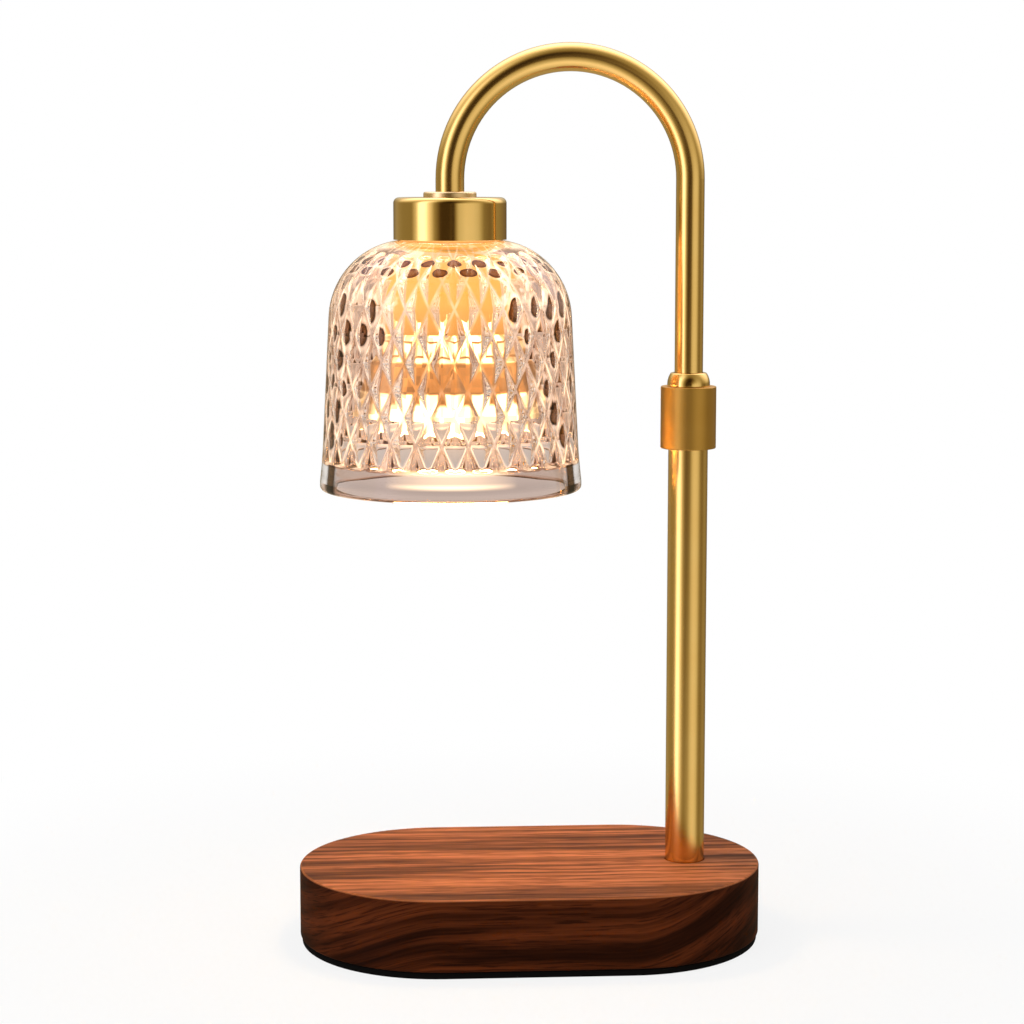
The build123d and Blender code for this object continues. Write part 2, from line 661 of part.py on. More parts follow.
def holder_top():
    """Upper half of the lampholder, screwed on the neck; its flange rests on the glass."""
    top = disc(HOLDER_FLANGE_OD / 2, GASKET_TOP, HOLDER_FLANGE_TOP, SHADE_X)
    top += disc(HOLDER_BOSS_OD / 2, HOLDER_FLANGE_TOP, HOLDER_BOSS_TOP, SHADE_X)
    top -= disc(NECK_OD / 2 + THREAD_FIT, NECK_END, HOLDER_BOSS_TOP + 1, SHADE_X)
    top -= disc(HOLDER_LIP_BORE / 2, GASKET_TOP - 1, NECK_END + 1, SHADE_X)
    for x in holder_screw_xs():
        top -= disc(
            HOLDER_SCREW_OD / 2 + THREAD_FIT, GASKET_TOP - 1, HOLDER_FLANGE_TOP + 1, SHADE_X + x
        )
    return top


def kidney(radius, bottom, top):
    """The path of one pin, from its place when locked round to the end of the twist."""
    reach = PIN_PITCH / 2
    ends = [radians(PIN_REST_ANGLE), radians(PIN_REST_ANGLE + PIN_LOCK_ANGLE)]
    sides = [(3 * reach * cos(angle), 3 * reach * sin(angle)) for angle in ends]
    wedge = at(0, 0, bottom - 1) * extrude(make_face(closed((0, 0), *sides)), top - bottom + 2)
    slot = ring(reach + radius, reach - radius, bottom, top) & wedge
    for angle in ends:
        slot += disc(radius, bottom, top, reach * cos(angle), reach * sin(angle))
    return slot


def pin_slots():
    """Keyholes for both pins, with room above them for the heads to turn."""
    head = PIN_HEAD / 2 + PIN_CLEARANCE
    angle = radians(PIN_REST_ANGLE + PIN_LOCK_ANGLE)
    plate_top = HOLDER_FACE_Z + HOLDER_FACE
    slot_top = plate_top + PIN_SLOT_OVERLAP
    slot = kidney(PIN_STEM / 2 + PIN_CLEARANCE, HOLDER_FACE_Z - 1, slot_top)
    slot += disc(
        head,
        HOLDER_FACE_Z - 1,
        slot_top,
        PIN_PITCH / 2 * cos(angle),
        PIN_PITCH / 2 * sin(angle),
    )
    slot += kidney(head, plate_top, CHAMBER_FLOOR + 1)
    return [at(SHADE_X, 0, 0) * slot, at(SHADE_X, 0, 0) * (Rot(0, 0, 180) * slot)]


def holder_body():
    """Ceramic lower half: thread for the shade ring, chamber for the contacts, pin slots."""
    body = disc(HOLDER_OD / 2, HOLDER_FACE_Z, GASKET_TOP, SHADE_X)
    body = fillet(edges_at(body, HOLDER_FACE_Z), HOLDER_EDGE_ROUND)
    body -= disc(HOLDER_CHAMBER_OD / 2, CHAMBER_FLOOR, GASKET_TOP + 1, SHADE_X)
    for slot in pin_slots():
        body -= slot
    for x in holder_screw_xs():
        body -= disc(
            HOLDER_SCREW_OD / 2 + THREAD_FIT,
            HOLDER_FLANGE_TOP - HOLDER_SCREW_LENGTH - LOOSE_FIT,
            GASKET_TOP + 1,
            SHADE_X + x,
        )
    return body


def holder_screws():
    """Two screws that hold the halves of the lampholder together."""
    screws = []
    for x in holder_screw_xs():
        screw = disc(
            HOLDER_SCREW_OD / 2, HOLDER_FLANGE_TOP - HOLDER_SCREW_LENGTH, HOLDER_FLANGE_TOP, SHADE_X + x
        )
        screw += disc(
            HOLDER_SCREW_HEAD / 2,
            HOLDER_FLANGE_TOP,
            HOLDER_FLANGE_TOP + HOLDER_SCREW_HEAD_HEIGHT,
            SHADE_X + x,
        )
        screws.append(screw)
    return group(*screws)


def holder_contacts():
    """A bronze leaf over each pin, with a dimple that meets it and a tab for its wire."""
    reach = PIN_PITCH / 2
    pin_top = BULB_SHOULDER + HEAD_FROM_SHOULDER + PIN_HEAD_HEIGHT
    contacts = []
    for side in (-1, 1):
        outer = side * (reach + CONTACT_LEAF_LENGTH / 2)
        inner = side * (WIRE_OFFSET - CONTACT_LEAF / 2)
        y0, y1 = sorted((outer, inner))
        leaf = block(
            SHADE_X - CONTACT_LEAF_WIDTH / 2,
            SHADE_X + CONTACT_LEAF_WIDTH / 2,
            y0,
            y1,
            CHAMBER_FLOOR,
            CHAMBER_FLOOR + CONTACT_LEAF,
        )
        tab = block(
            SHADE_X - CONTACT_LEAF_WIDTH / 2,
            SHADE_X + CONTACT_LEAF_WIDTH / 2,
            side * WIRE_OFFSET - CONTACT_LEAF / 2,
            side * WIRE_OFFSET + CONTACT_LEAF / 2,
            CHAMBER_FLOOR,
            CHAMBER_FLOOR + CONTACT_TAB_HEIGHT,
        )
        dimple = disc(
            CONTACT_DIMPLE / 2, pin_top + PIN_CLEARANCE, CHAMBER_FLOOR, SHADE_X, side * reach
        )
        contacts.append(leaf + tab + dimple)
    return group(*contacts)


def upper_gasket():
    inner = HOLDER_OD / 2 + LOOSE_FIT
    return ring(inner + GASKET_WIDTH, inner, SHADE_TOP, GASKET_TOP, SHADE_X)


def lower_gasket():
    inner = HOLDER_OD / 2 + LOOSE_FIT
    return ring(inner + GASKET_WIDTH, inner, GLASS_UNDER - GASKET_THICKNESS, GLASS_UNDER, SHADE_X)


def shade_ring():
    """Threaded ring that clamps the glass from below, notched for the fingers."""
    top = GLASS_UNDER - GASKET_THICKNESS
    bottom = top - SHADE_RING_HEIGHT
    clamp = ring(SHADE_RING_OD / 2, HOLDER_OD / 2 + THREAD_FIT, bottom, top, SHADE_X)
    for step in range(SHADE_RING_NOTCHES):
        angle = 2 * pi * step / SHADE_RING_NOTCHES
        clamp -= disc(
            SHADE_RING_NOTCH / 2,
            bottom - 1,
            top - 1,
            SHADE_X + SHADE_RING_OD / 2 * cos(angle),
            SHADE_RING_OD / 2 * sin(angle),
        )
    return clamp


# ---------------------------------------------------------------- glass shade
SLOPE = radians(SHADE_TAPER)
SHOULDER = (
    SHADE_FLAT_RADIUS + SHADE_DOME_RADIUS * cos(SLOPE),
    DOME_CENTRE + SHADE_DOME_RADIUS * sin(SLOPE),
)
FLARE_RADIUS = SHOULDER[0] + (SHOULDER[1] - SHADE_FLARE_TOP) * tan(SLOPE)
INNER_DOME_TOP = SHADE_HEIGHT - SHADE_TOP_WALL
INNER_SHOULDER_RADIUS = SHOULDER[0] - SHADE_WALL
INNER_DOME_RADIUS = INNER_SHOULDER_RADIUS - SHADE_INNER_FLAT
INNER_DOME_CENTRE = INNER_DOME_TOP - INNER_DOME_RADIUS


def side_radius(height):
    """Radius of the glass's outer side at a height above the rim, below the shoulder."""
    if height >= SHADE_FLARE_TOP:
        return SHOULDER[0] + (SHOULDER[1] - height) * tan(SLOPE)
    share = max(0.0, (SHADE_FLARE_TOP - height) / (SHADE_FLARE_TOP - SHADE_RIM_STRAIGHT))
    straight = (SHADE_FLARE_TOP - height) * tan(SLOPE)
    spare = SHADE_RIM_RADIUS - FLARE_RADIUS - (SHADE_FLARE_TOP - SHADE_RIM_STRAIGHT) * tan(SLOPE)
    return min(FLARE_RADIUS + straight + spare * share**2, SHADE_RIM_RADIUS)


def inner_radius(height):
    """Radius of the deepest points of the cut pattern at a height above the rim."""
    if height > INNER_DOME_CENTRE:
        rise = height - INNER_DOME_CENTRE
        return SHADE_INNER_FLAT + sqrt(INNER_DOME_RADIUS**2 - rise**2)
    return side_radius(height) - SHADE_WALL


def shade_body():
    """The glass's smooth outside, still solid inside."""
    flare = (SHADE_RIM_RADIUS + FLARE_RADIUS) / 2 - SHADE_FLARE_BOW
    outline = [
        Line((0, 0), (SHADE_RIM_RADIUS, 0)),
        Line((SHADE_RIM_RADIUS, 0), (SHADE_RIM_RADIUS, SHADE_RIM_STRAIGHT)),
        ThreePointArc(
            (SHADE_RIM_RADIUS, SHADE_RIM_STRAIGHT),
            (flare, (SHADE_RIM_STRAIGHT + SHADE_FLARE_TOP) / 2),
            (FLARE_RADIUS, SHADE_FLARE_TOP),
        ),
        Line((FLARE_RADIUS, SHADE_FLARE_TOP), SHOULDER),
        ThreePointArc(
            SHOULDER,
            (
                SHADE_FLAT_RADIUS + SHADE_DOME_RADIUS * sin(pi / 4),
                DOME_CENTRE + SHADE_DOME_RADIUS * cos(pi / 4),
            ),
            (SHADE_FLAT_RADIUS, SHADE_HEIGHT),
        ),
        Line((SHADE_FLAT_RADIUS, SHADE_HEIGHT), (0, SHADE_HEIGHT)),
        Line((0, SHADE_HEIGHT), (0, 0)),
    ]
    body = turned(Wire(outline))
    return fillet(edges_at(body, 0), SHADE_RIM_ROUND)


def row_heights(low, high, rows):
    """Split the inner wall between two heights into rows of equal length along its profile."""
    steps = 400
    heights = [low + (high - low) * step / steps for step in range(steps + 1)]
    lengths = [0.0]
    for below, above in zip(heights, heights[1:]):
        run = inner_radius(above) - inner_radius(below)
        lengths.append(lengths[-1] + sqrt((above - below) ** 2 + run**2))
    marks = []
    for row in range(rows + 1):
        target = lengths[-1] * row / rows
        marks.append(min(range(steps + 1), key=lambda step: abs(lengths[step] - target)))
    return [heights[mark] for mark in marks]


def pattern_point(row, half_step, heights):
    """A corner of the pattern: crossings of ridges and middles of diamonds take turns."""
    height = heights[row]
    on_ridge = (row + half_step) % 2 == 0
    radius = inner_radius(height) - (PATTERN_RELIEF if on_ridge else 0.0)
    angle = pi * half_step / PATTERN_COLUMNS
    return (radius * cos(angle), radius * sin(angle), height)


def cut_hollow():
    """The many-sided hollow that leaves staggered diamonds on the inside of the glass."""
    heights = row_heights(BAND_HEIGHT, PATTERN_TOP, PATTERN_ROWS)
    count = 2 * PATTERN_COLUMNS
    faces = []
    for row in range(PATTERN_ROWS):
        for step in range(count):
            low_left = pattern_point(row, step, heights)
            low_right = pattern_point(row, step + 1, heights)
            high_left = pattern_point(row + 1, step, heights)
            high_right = pattern_point(row + 1, step + 1, heights)
            if (row + step) % 2 == 0:
                corners = ((low_left, low_right, high_right), (low_left, high_right, high_left))
            else:
                corners = ((low_left, low_right, high_left), (low_right, high_right, high_left))
            faces += [Face(Wire.make_polygon(three)) for three in corners]
    for row in (0, PATTERN_ROWS):
        faces.append(
            Face(Wire.make_polygon([pattern_point(row, step, heights) for step in range(count)]))
        )
    return Solid(Shell(faces))


def glass_shade():
    """Thick clear glass, smooth outside, with diamonds pressed into its inner wall."""
    glass = shade_body()
    glass -= cut_hollow()
    rim = SHADE_RIM_RADIUS - SHADE_WALL
    lip = SHADE_RIM_INNER_ROUND
    curl = lip * (1 - sin(pi / 4))
    mouth = Wire(
        [
            Line((0, -1), (rim + lip, -1)),
            Line((rim + lip, -1), (rim + lip, 0)),
            ThreePointArc((rim + lip, 0), (rim + curl, curl), (rim, lip)),
            Line((rim, lip), (inner_radius(BAND_HEIGHT), BAND_HEIGHT)),
            Line((inner_radius(BAND_HEIGHT), BAND_HEIGHT), (0, BAND_HEIGHT)),
            Line((0, BAND_HEIGHT), (0, -1)),
        ]
    )
    glass -= turned(mouth)
    crown = inner_radius(PATTERN_TOP) - PATTERN_RELIEF
    arch = Wire(
        [
            Line((0, PATTERN_TOP), (crown, PATTERN_TOP)),
            ThreePointArc(
                (crown, PATTERN_TOP),
                (
                    (crown + SHADE_INNER_FLAT) / 2 + CROWN_BOW_OUT,
                    (PATTERN_TOP + INNER_DOME_TOP) / 2 + CROWN_BOW_UP,
                ),
                (SHADE_INNER_FLAT, INNER_DOME_TOP),
            ),
            Line((SHADE_INNER_FLAT, INNER_DOME_TOP), (0, INNER_DOME_TOP)),
            Line((0, INNER_DOME_TOP), (0, PATTERN_TOP)),
        ]
    )
    glass -= turned(arch)
    glass -= disc(SHADE_HOLE / 2, INNER_DOME_TOP - 1, SHADE_HEIGHT + 1)
    return at(SHADE_X, 0, SHADE_RIM) * glass


# ---------------------------------------------------------------- bulb
HEAD_FROM_SHOULDER = HOLDER_FACE + BULB_GAP + PIN_CLEARANCE


def reflector_profile(inset):
    """Outline of the reflector's side, from the rim up to the neck, moved inwards by inset."""
    rim_top = BULB_FRONT + BULB_RIM
    neck = BULB_BASE_BOTTOM + BULB_NECK_SEAT
    waist = rim_top + (neck - rim_top) * BULB_WAIST
    return [
        (BULB_RADIUS - 1 - inset, rim_top),
        (BULB_WAIST_RADIUS - inset, waist),
        (BULB_NECK_RADIUS - inset, neck),
    ]


def bulb_reflector():
    """Glass reflector with a rim round its front."""
    outer = reflector_profile(0.0)
    inner = reflector_profile(BULB_SHELL)
    seat_top = BULB_FRONT + LENS_SEAT + LENS_THICKNESS
    return turned(
        Wire(
            [
                Line((BULB_RADIUS - BULB_SHELL, BULB_FRONT), (BULB_RADIUS, BULB_FRONT)),
                Line((BULB_RADIUS, BULB_FRONT), (BULB_RADIUS, outer[0][1])),
                Line((BULB_RADIUS, outer[0][1]), outer[0]),
                ThreePointArc(*outer),
                Line(outer[2], inner[2]),
                ThreePointArc(*reversed(inner)),
                Line(inner[0], (BULB_RADIUS - BULB_SHELL, seat_top)),
                Line((BULB_RADIUS - BULB_SHELL, seat_top), (BULB_RADIUS - BULB_SHELL, BULB_FRONT)),
            ]
        ),
        SHADE_X,
    )


def bulb_lens():
    """Clear front glass, held in the rim."""
    return disc(
        BULB_RADIUS - BULB_SHELL - THREAD_FIT,
        BULB_FRONT + LENS_SEAT,
        BULB_FRONT + LENS_SEAT + LENS_THICKNESS - TOUCH_GAP,
        SHADE_X,
    )


def bulb_base():
    """White ceramic base: a cup round the reflector's neck, with the pins in its top."""
    neck = BULB_BASE_BOTTOM + BULB_NECK_SEAT
    cup = BULB_NECK_RADIUS + THREAD_FIT
    base = turned(
        closed(
            (0, neck + TOUCH_GAP),
            (cup, neck + TOUCH_GAP),
            (cup + BULB_NECK_SLOPE * BULB_NECK_SEAT, BULB_BASE_BOTTOM),
            (BULB_BASE_RADIUS, BULB_BASE_BOTTOM),
            (BULB_BASE_TOP_RADIUS, BULB_SHOULDER),
            (0, BULB_SHOULDER),
        ),
        SHADE_X,
    )
    base -= disc(CAPSULE_RADIUS + THREAD_FIT, neck - 1, neck + BULB_NECK_SEAT, SHADE_X)
    for side in (-1, 1):
        base -= disc(
            PIN_STEM / 2 + THREAD_FIT,
            BULB_SHOULDER - PIN_ROOT,
            BULB_SHOULDER + 1,
            SHADE_X,
            side * PIN_PITCH / 2,
        )
    return base


def bulb_pins():
    """Two headed pins, 10 mm apart."""
    pins = []
    under_head = BULB_SHOULDER + HEAD_FROM_SHOULDER
    for side in (-1, 1):
        y = side * PIN_PITCH / 2
        pin = disc(PIN_STEM / 2, BULB_SHOULDER - PIN_ROOT, under_head, SHADE_X, y)
        head = disc(PIN_HEAD / 2, under_head, under_head + PIN_HEAD_HEIGHT, SHADE_X, y)
        pins.append(pin + fillet(edges_at(head, under_head + PIN_HEAD_HEIGHT), PIN_HEAD_ROUND))
    return group(*pins)


def bulb_capsule():
    """Quartz capsule in the middle of the reflector."""
    top = CAPSULE_TOP
    tip = top - CAPSULE_LENGTH
    outer = disc(CAPSULE_RADIUS, tip + CAPSULE_RADIUS, top, SHADE_X)
    outer += at(SHADE_X, 0, tip + CAPSULE_RADIUS) * Sphere(CAPSULE_RADIUS)
    hollow = disc(CAPSULE_RADIUS - CAPSULE_WALL, tip + CAPSULE_RADIUS, top - CAPSULE_PINCH, SHADE_X)
    hollow += at(SHADE_X, 0, tip + CAPSULE_RADIUS) * Sphere(CAPSULE_RADIUS - CAPSULE_WALL)
    return outer - hollow


def bulb_filament():
    """Tungsten loop that stands in the capsule on its two legs."""
    foot = CAPSULE_TOP - CAPSULE_PINCH
    low = foot - FILAMENT_HEIGHT
    half = FILAMENT_WIDTH / 2
    points = [
        (SHADE_X - half, 0, foot),
        (SHADE_X - half, 0, low),
        (SHADE_X + half, 0, low),
        (SHADE_X + half, 0, foot),
    ]
    return swept_disc(FILAMENT_WIRE, FilletPolyline(*points, radius=half / 2))


# ---------------------------------------------------------------- wiring
def neck_wires():
    """Two insulated wires through the neck, from its lower end to the contact tabs."""
    end = CHAMBER_FLOOR + CONTACT_TAB_HEIGHT
    return group(
        *[
            swept_disc(WIRE_OD / 2, arch_path(side * WIRE_OFFSET, BUSH_BOTTOM, end))
            for side in (-1, 1)
        ]
    )


def post_wires():
    """The same wires from the neck down the post, through its foot and into the connector."""
    wires = []
    for side in (-1, 1):
        near = side * WIRE_OFFSET
        far = side * BLOCK_PITCH / 2
        points = [
            (POST_X, near, BUSH_BOTTOM),
            (POST_X, near, WIRE_LEVEL),
            (BLOCK_X1 + WIRE_JOG_START, near, WIRE_LEVEL),
            (BLOCK_X1 + WIRE_JOG_END, far, WIRE_LEVEL),
            (BLOCK_MID + WIRE_END_GAP, far, WIRE_LEVEL),
        ]
        path = FilletPolyline(*points, radius=[WIRE_BEND - WIRE_BEND_EASE, WIRE_BEND, WIRE_BEND])
        wires.append(swept_disc(WIRE_OD / 2, path))
    return group(*wires)


# ---------------------------------------------------------------- all parts
PARTS = [
    base_block, base_plate, plate_screws, base_pad, cord_grommet, terminal_block, terminal_screws,
    block_screw, post_foot, post_washer, post_nut, post_tube, post_head, post_wires,
    grip_collet, gland_ring, lock_collar,
    neck_tube, neck_bush, neck_wires, seat_ring, head_cap, cap_washer, cap_nut,
    holder_top, holder_body, holder_screws, holder_contacts, upper_gasket, lower_gasket,
    shade_ring, glass_shade,
    bulb_base, bulb_reflector, bulb_lens, bulb_capsule, bulb_filament, bulb_pins,
]  # fmt: skip

os.makedirs("parts", exist_ok=True)
for make in PARTS:
    export_step(make(), f"parts/{make.__name__}.step")
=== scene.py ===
# %% [markdown]
# # A candle warmer lamp
#
# This notebook dresses a lamp that melts a scented candle from above. The pieces come in as plain
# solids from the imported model: a walnut base, brass tubes, a turned lock collar, a cap, a bulb and
# a bell of thick glass. Here they get their finishes, and a few of them get finer meshes.
#
# We start with the tools.

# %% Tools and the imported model
from math import cos, pi, radians, sin, sqrt, tan

import bpy
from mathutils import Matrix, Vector


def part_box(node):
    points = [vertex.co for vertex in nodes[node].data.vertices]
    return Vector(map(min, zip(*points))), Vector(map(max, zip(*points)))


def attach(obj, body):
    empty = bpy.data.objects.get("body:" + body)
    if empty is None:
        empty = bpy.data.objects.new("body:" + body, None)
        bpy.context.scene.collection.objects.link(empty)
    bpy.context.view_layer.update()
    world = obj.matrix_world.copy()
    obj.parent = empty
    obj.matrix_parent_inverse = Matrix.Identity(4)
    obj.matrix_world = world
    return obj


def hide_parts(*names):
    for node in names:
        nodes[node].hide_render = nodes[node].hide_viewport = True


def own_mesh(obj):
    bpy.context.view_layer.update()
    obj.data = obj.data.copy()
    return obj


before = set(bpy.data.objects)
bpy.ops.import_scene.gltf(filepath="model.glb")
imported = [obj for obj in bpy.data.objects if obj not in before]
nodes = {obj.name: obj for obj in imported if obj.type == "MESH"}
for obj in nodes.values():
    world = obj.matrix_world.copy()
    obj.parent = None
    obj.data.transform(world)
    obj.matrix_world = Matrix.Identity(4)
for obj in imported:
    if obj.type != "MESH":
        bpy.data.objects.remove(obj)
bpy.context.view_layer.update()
MM = 0.001

# %% [markdown]
# ## Places that other cells need
#
# None of these places is typed in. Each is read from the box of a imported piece, so the lamp still
# fits together if a size changes in the model. The radius of the neck's bend is half the distance
# from the post to the shade.

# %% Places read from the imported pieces
def span(node, axis):
    """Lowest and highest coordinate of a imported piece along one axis."""
    low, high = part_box(node)
    return low[axis], high[axis]


def middle(node, axis):
    return sum(span(node, axis)) / 2


def half_span(node, axis):
    low, high = span(node, axis)
    return (high - low) / 2


POST_X = middle("post_tube", 0)
SHADE_X = middle("glass_shade", 0)
RIM, CROWN = span("glass_shade", 2)
WOOD_TOP = span("base_block", 2)[1]
ARCH_X = (POST_X + SHADE_X) / 2
ARCH_TOP = span("neck_tube", 2)[1]
TUBE_RADIUS = half_span("neck_tube", 1)
ARCH_CENTRE = ARCH_TOP - TUBE_RADIUS - (POST_X - SHADE_X) / 2
BULB_FRONT, BULB_NECK = span("bulb_reflector", 2)
print("post", round(POST_X, 4), "shade", round(SHADE_X, 4), "arch centre", round(ARCH_CENTRE, 4))

# %% [markdown]
# ## Short names for shader work
#
# A material is a graph of nodes. These helpers add a node, set its values and join it to others in
# one line, so that a finish below reads like a recipe. A socket can be given a number, a colour,
# or the output of another node.

# %% Helpers for node graphs
def plug(tree, socket, value):
    """Give a socket a plain value, or join another node's output to it."""
    if isinstance(value, bpy.types.NodeSocket):
        tree.links.new(value, socket)
    else:
        socket.default_value = value


def put(tree, kind, inputs=None, **settings):
    """Add a node of a kind. inputs maps a socket's name or number to a value or an output."""
    made = tree.nodes.new("ShaderNode" + kind)
    for name, value in settings.items():
        setattr(made, name, value)
    for name, value in (inputs or {}).items():
        plug(tree, made.inputs[name], value)
    return made


def maths(tree, operation, *values):
    return put(tree, "Math", dict(enumerate(values)), operation=operation).outputs[0]


def vector_maths(tree, operation, *values):
    values = dict(enumerate(values))
    return put(tree, "VectorMath", values, operation=operation).outputs


def product(tree, *values):
    """Several values multiplied together."""
    result = values[0]
    for value in values[1:]:
        result = maths(tree, "MULTIPLY", result, value)
    return result


def total(tree, *values):
    """Several values added up."""
    result = values[0]
    for value in values[1:]:
        result = maths(tree, "ADD", result, value)
    return result


def length_of(tree, *parts):
    """How long a vector is, from its parts."""
    return maths(tree, "SQRT", total(tree, *[product(tree, part, part) for part in parts]))


def rest_of(tree, share):
    """What is left of one."""
    return maths(tree, "SUBTRACT", 1.0, share)


def join(tree, *values):
    """Two or three values as one vector."""
    return put(tree, "CombineXYZ", dict(enumerate(values))).outputs[0]


def split(tree, vector):
    """The x, y and z of a vector."""
    return put(tree, "SeparateXYZ", {0: vector}).outputs


def own_place(tree):
    """Where a point lies on the lamp at rest."""
    return put(tree, "TexCoord").outputs["Object"]


def noise(tree, vector, scale, detail):
    values = {"Vector": vector, "Scale": scale, "Detail": detail}
    return put(tree, "TexNoise", values).outputs["Fac"]


def attribute(tree, name):
    """A value that is painted on the mesh."""
    return put(tree, "Attribute", attribute_name=name).outputs["Fac"]


def blend_values(tree, share, first, second):
    values = {0: share, 2: first, 3: second}
    return put(tree, "Mix", values, data_type="FLOAT").outputs[0]


def blend_colours(tree, share, first, second, mode="MIX"):
    values = {0: share, 6: first, 7: second}
    return put(tree, "Mix", values, data_type="RGBA", blend_type=mode).outputs[2]


def ramp(tree, value, *stops):
    """A colour ramp. Each stop is (place, colour), or (place, grey level)."""
    made = put(tree, "ValToRGB", {0: value})
    band = made.color_ramp
    band.elements.remove(band.elements[1])
    band.elements[0].position = stops[0][0]
    for place, _ in stops[1:]:
        band.elements.new(place)
    for element, (_, colour) in zip(band.elements, stops):
        element.color = colour if isinstance(colour, tuple) else (colour, colour, colour, 1)
    return made.outputs[0]


def fitted(tree, value, low, high):
    """Bring a value of 0 to 1 between two levels."""
    values = {"Value": value, "To Min": low, "To Max": high}
    return put(tree, "MapRange", values).outputs[0]


def share_between(tree, value, low, high):
    """How far a value has come from one level to another, from 0 to 1."""
    values = {"Value": value, "From Min": low, "From Max": high}
    return put(tree, "MapRange", values).outputs[0]


def rgb(red, green, blue):
    return (red, green, blue, 1.0)


# %% Helpers for materials and groups
def shader_of(material):
    return material.node_tree.nodes["Principled BSDF"]


def finish(name, **values):
    """A new material with plain values on its shader. Returns the material, its tree and shader."""
    made = bpy.data.materials.new(name)
    made.use_nodes = True
    shader = shader_of(made)
    for key, value in values.items():
        shader.inputs[key.replace("_", " ")].default_value = value
    return made, made.node_tree, shader


def group(name, inputs, outputs):
    """An empty node group and its two end nodes. An input is (name, type, value)."""
    made = bpy.data.node_groups.new(name, "ShaderNodeTree")
    for label, kind, value in inputs:
        socket = made.interface.new_socket(label, in_out="INPUT", socket_type=kind)
        socket.default_value = value
    for label, kind in outputs:
        made.interface.new_socket(label, in_out="OUTPUT", socket_type=kind)
    return made, made.nodes.new("NodeGroupInput"), made.nodes.new("NodeGroupOutput")


def use(tree, made, **values):
    """Place a group in a material, with its own values."""
    placed = put(tree, "Group", node_tree=made)
    for key, value in values.items():
        plug(tree, placed.inputs[key.replace("_", " ").capitalize()], value)
    return placed.outputs


def give(made, out, values):
    """Join values to a group's outputs."""
    for label, value in values.items():
        made.links.new(value, out.inputs[label])


def feed(tree, shader, **values):
    """Join what changes over the surface to sockets of the shader."""
    for key, value in values.items():
        tree.links.new(value, shader.inputs[key.replace("_", " ")])


def bump(tree, shader, height, strength, distance):
    values = {"Height": height, "Strength": strength, "Distance": distance}
    feed(tree, shader, Normal=put(tree, "Bump", values).outputs[0])


def glowing(material, colour, strength):
    """The lamp is on, so pale parts round the bulb glow with the light they catch."""
    shader_of(material).inputs["Emission Color"].default_value = colour
    shader_of(material).inputs["Emission Strength"].default_value = strength


def wear(material, *pieces):
    """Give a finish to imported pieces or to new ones."""
    for target in pieces:
        target = nodes[target] if isinstance(target, str) else target
        target.data.materials.clear()
        target.data.materials.append(material)


FLOAT, VECTOR = "NodeSocketFloat", "NodeSocketVector"
print("helpers ready")

# %% [markdown]
# ## Camera
#
# The camera looks slightly down at the lamp from a little to the left, from almost three times the
# lamp's height away. A long lens keeps perspective mild, so the post and the arch hardly taper.
# The camera is placed by its distance, turn and pitch round one point near the lamp's middle.

# %% Camera
LENS = 89.6
SENSOR = 36.0
CAMERA_DISTANCE = 0.901
CAMERA_TURN = radians(-3.5)
CAMERA_PITCH = radians(7.5)
LOOK_AT = Vector((-0.0064, 0.0, 0.1546))

away = Vector(
    (
        sin(CAMERA_TURN) * cos(CAMERA_PITCH),
        -cos(CAMERA_TURN) * cos(CAMERA_PITCH),
        sin(CAMERA_PITCH),
    )
)
camera = bpy.data.objects.new("camera", bpy.data.cameras.new("camera"))
bpy.context.scene.collection.objects.link(camera)
camera.data.lens, camera.data.sensor_width = LENS, SENSOR
camera.location = LOOK_AT + away * CAMERA_DISTANCE
camera.rotation_euler = (-away).to_track_quat("-Z", "Y").to_euler()
bpy.context.scene.camera = camera
bpy.context.scene.view_settings.view_transform = "Standard"
print("camera at", [round(x, 3) for x in camera.location])

# %% [markdown]
# ## The studio round the lamp
#
# Polished metal has hardly any colour of its own: it shows the room. In a studio, tall soft boxes
# and dark cards stand round brass and draw light and dark bands on it. We could build those boxes
# as lamps, but a studio painted in the world does the same for every tube at once and adds no
# noise. So the world answers each kind of ray in its own way. The camera sees white. Clear glass
# sees white behind the lamp and a warm dim room elsewhere. Gloss sees the soft boxes. Matt
# surfaces get one plain level.

# %% Brightness of the studio, by angle from the camera's side
PLAIN_LEVEL = 0.60
CORNER_REACH = 0.55  # how much further the ceiling's card reaches on the upper right
LEFT_SHARE = 0.20  # how much brighter the left of the room is, and dimmer the right
TINY = 0.00001  # keeps a division from meeting zero straight ahead
# Degrees from the front: to the left (negative) and to the right. Then the brightness there.
SIDEWAYS = (
    (-180, 0.14), (-166, 0.20), (-140, 0.40), (-113, 0.31), (-86, 0.30), (-74, 0.9), (-66, 3.2),
    (-55, 3.2), (-46, 1.3), (-34, 0.38), (-21, 0.06), (6, 0.04), (15, 0.72), (30, 0.95), (45, 0.90),
    (58, 0.72), (71, 0.28), (87, 0.20), (106, 0.36), (140, 0.22), (163, 0.14), (180, 0.14),
)  # fmt: skip
# The same, downwards (negative) and upwards.
UPWARDS = (
    (-180, 0.45), (-104, 0.49), (-81, 0.72), (-61, 1.1), (-45, 1.35), (-28, 0.72), (-11, 0.34),
    (-4, 0.14), (2, 0.08), (20, 0.02), (33, 0.04), (44, 0.24), (60, 0.36), (74, 0.8), (92, 2.2),
    (112, 3.8), (124, 3.8), (140, 1.2), (180, 0.45),
)  # fmt: skip
BRIGHTEST = max(level for _, level in SIDEWAYS + UPWARDS)
# Dim parts of the studio are warmer, as its dark cards catch light from the lamp.
WARMTH = (
    (0.01, rgb(1.0, 0.64, 0.28)),
    (0.08, rgb(1.0, 0.90, 0.56)),
    (0.20, rgb(1.0, 0.99, 0.90)),
    (0.45, rgb(0.88, 0.84, 1.0)),
    (1.00, rgb(0.84, 0.78, 1.0)),
)
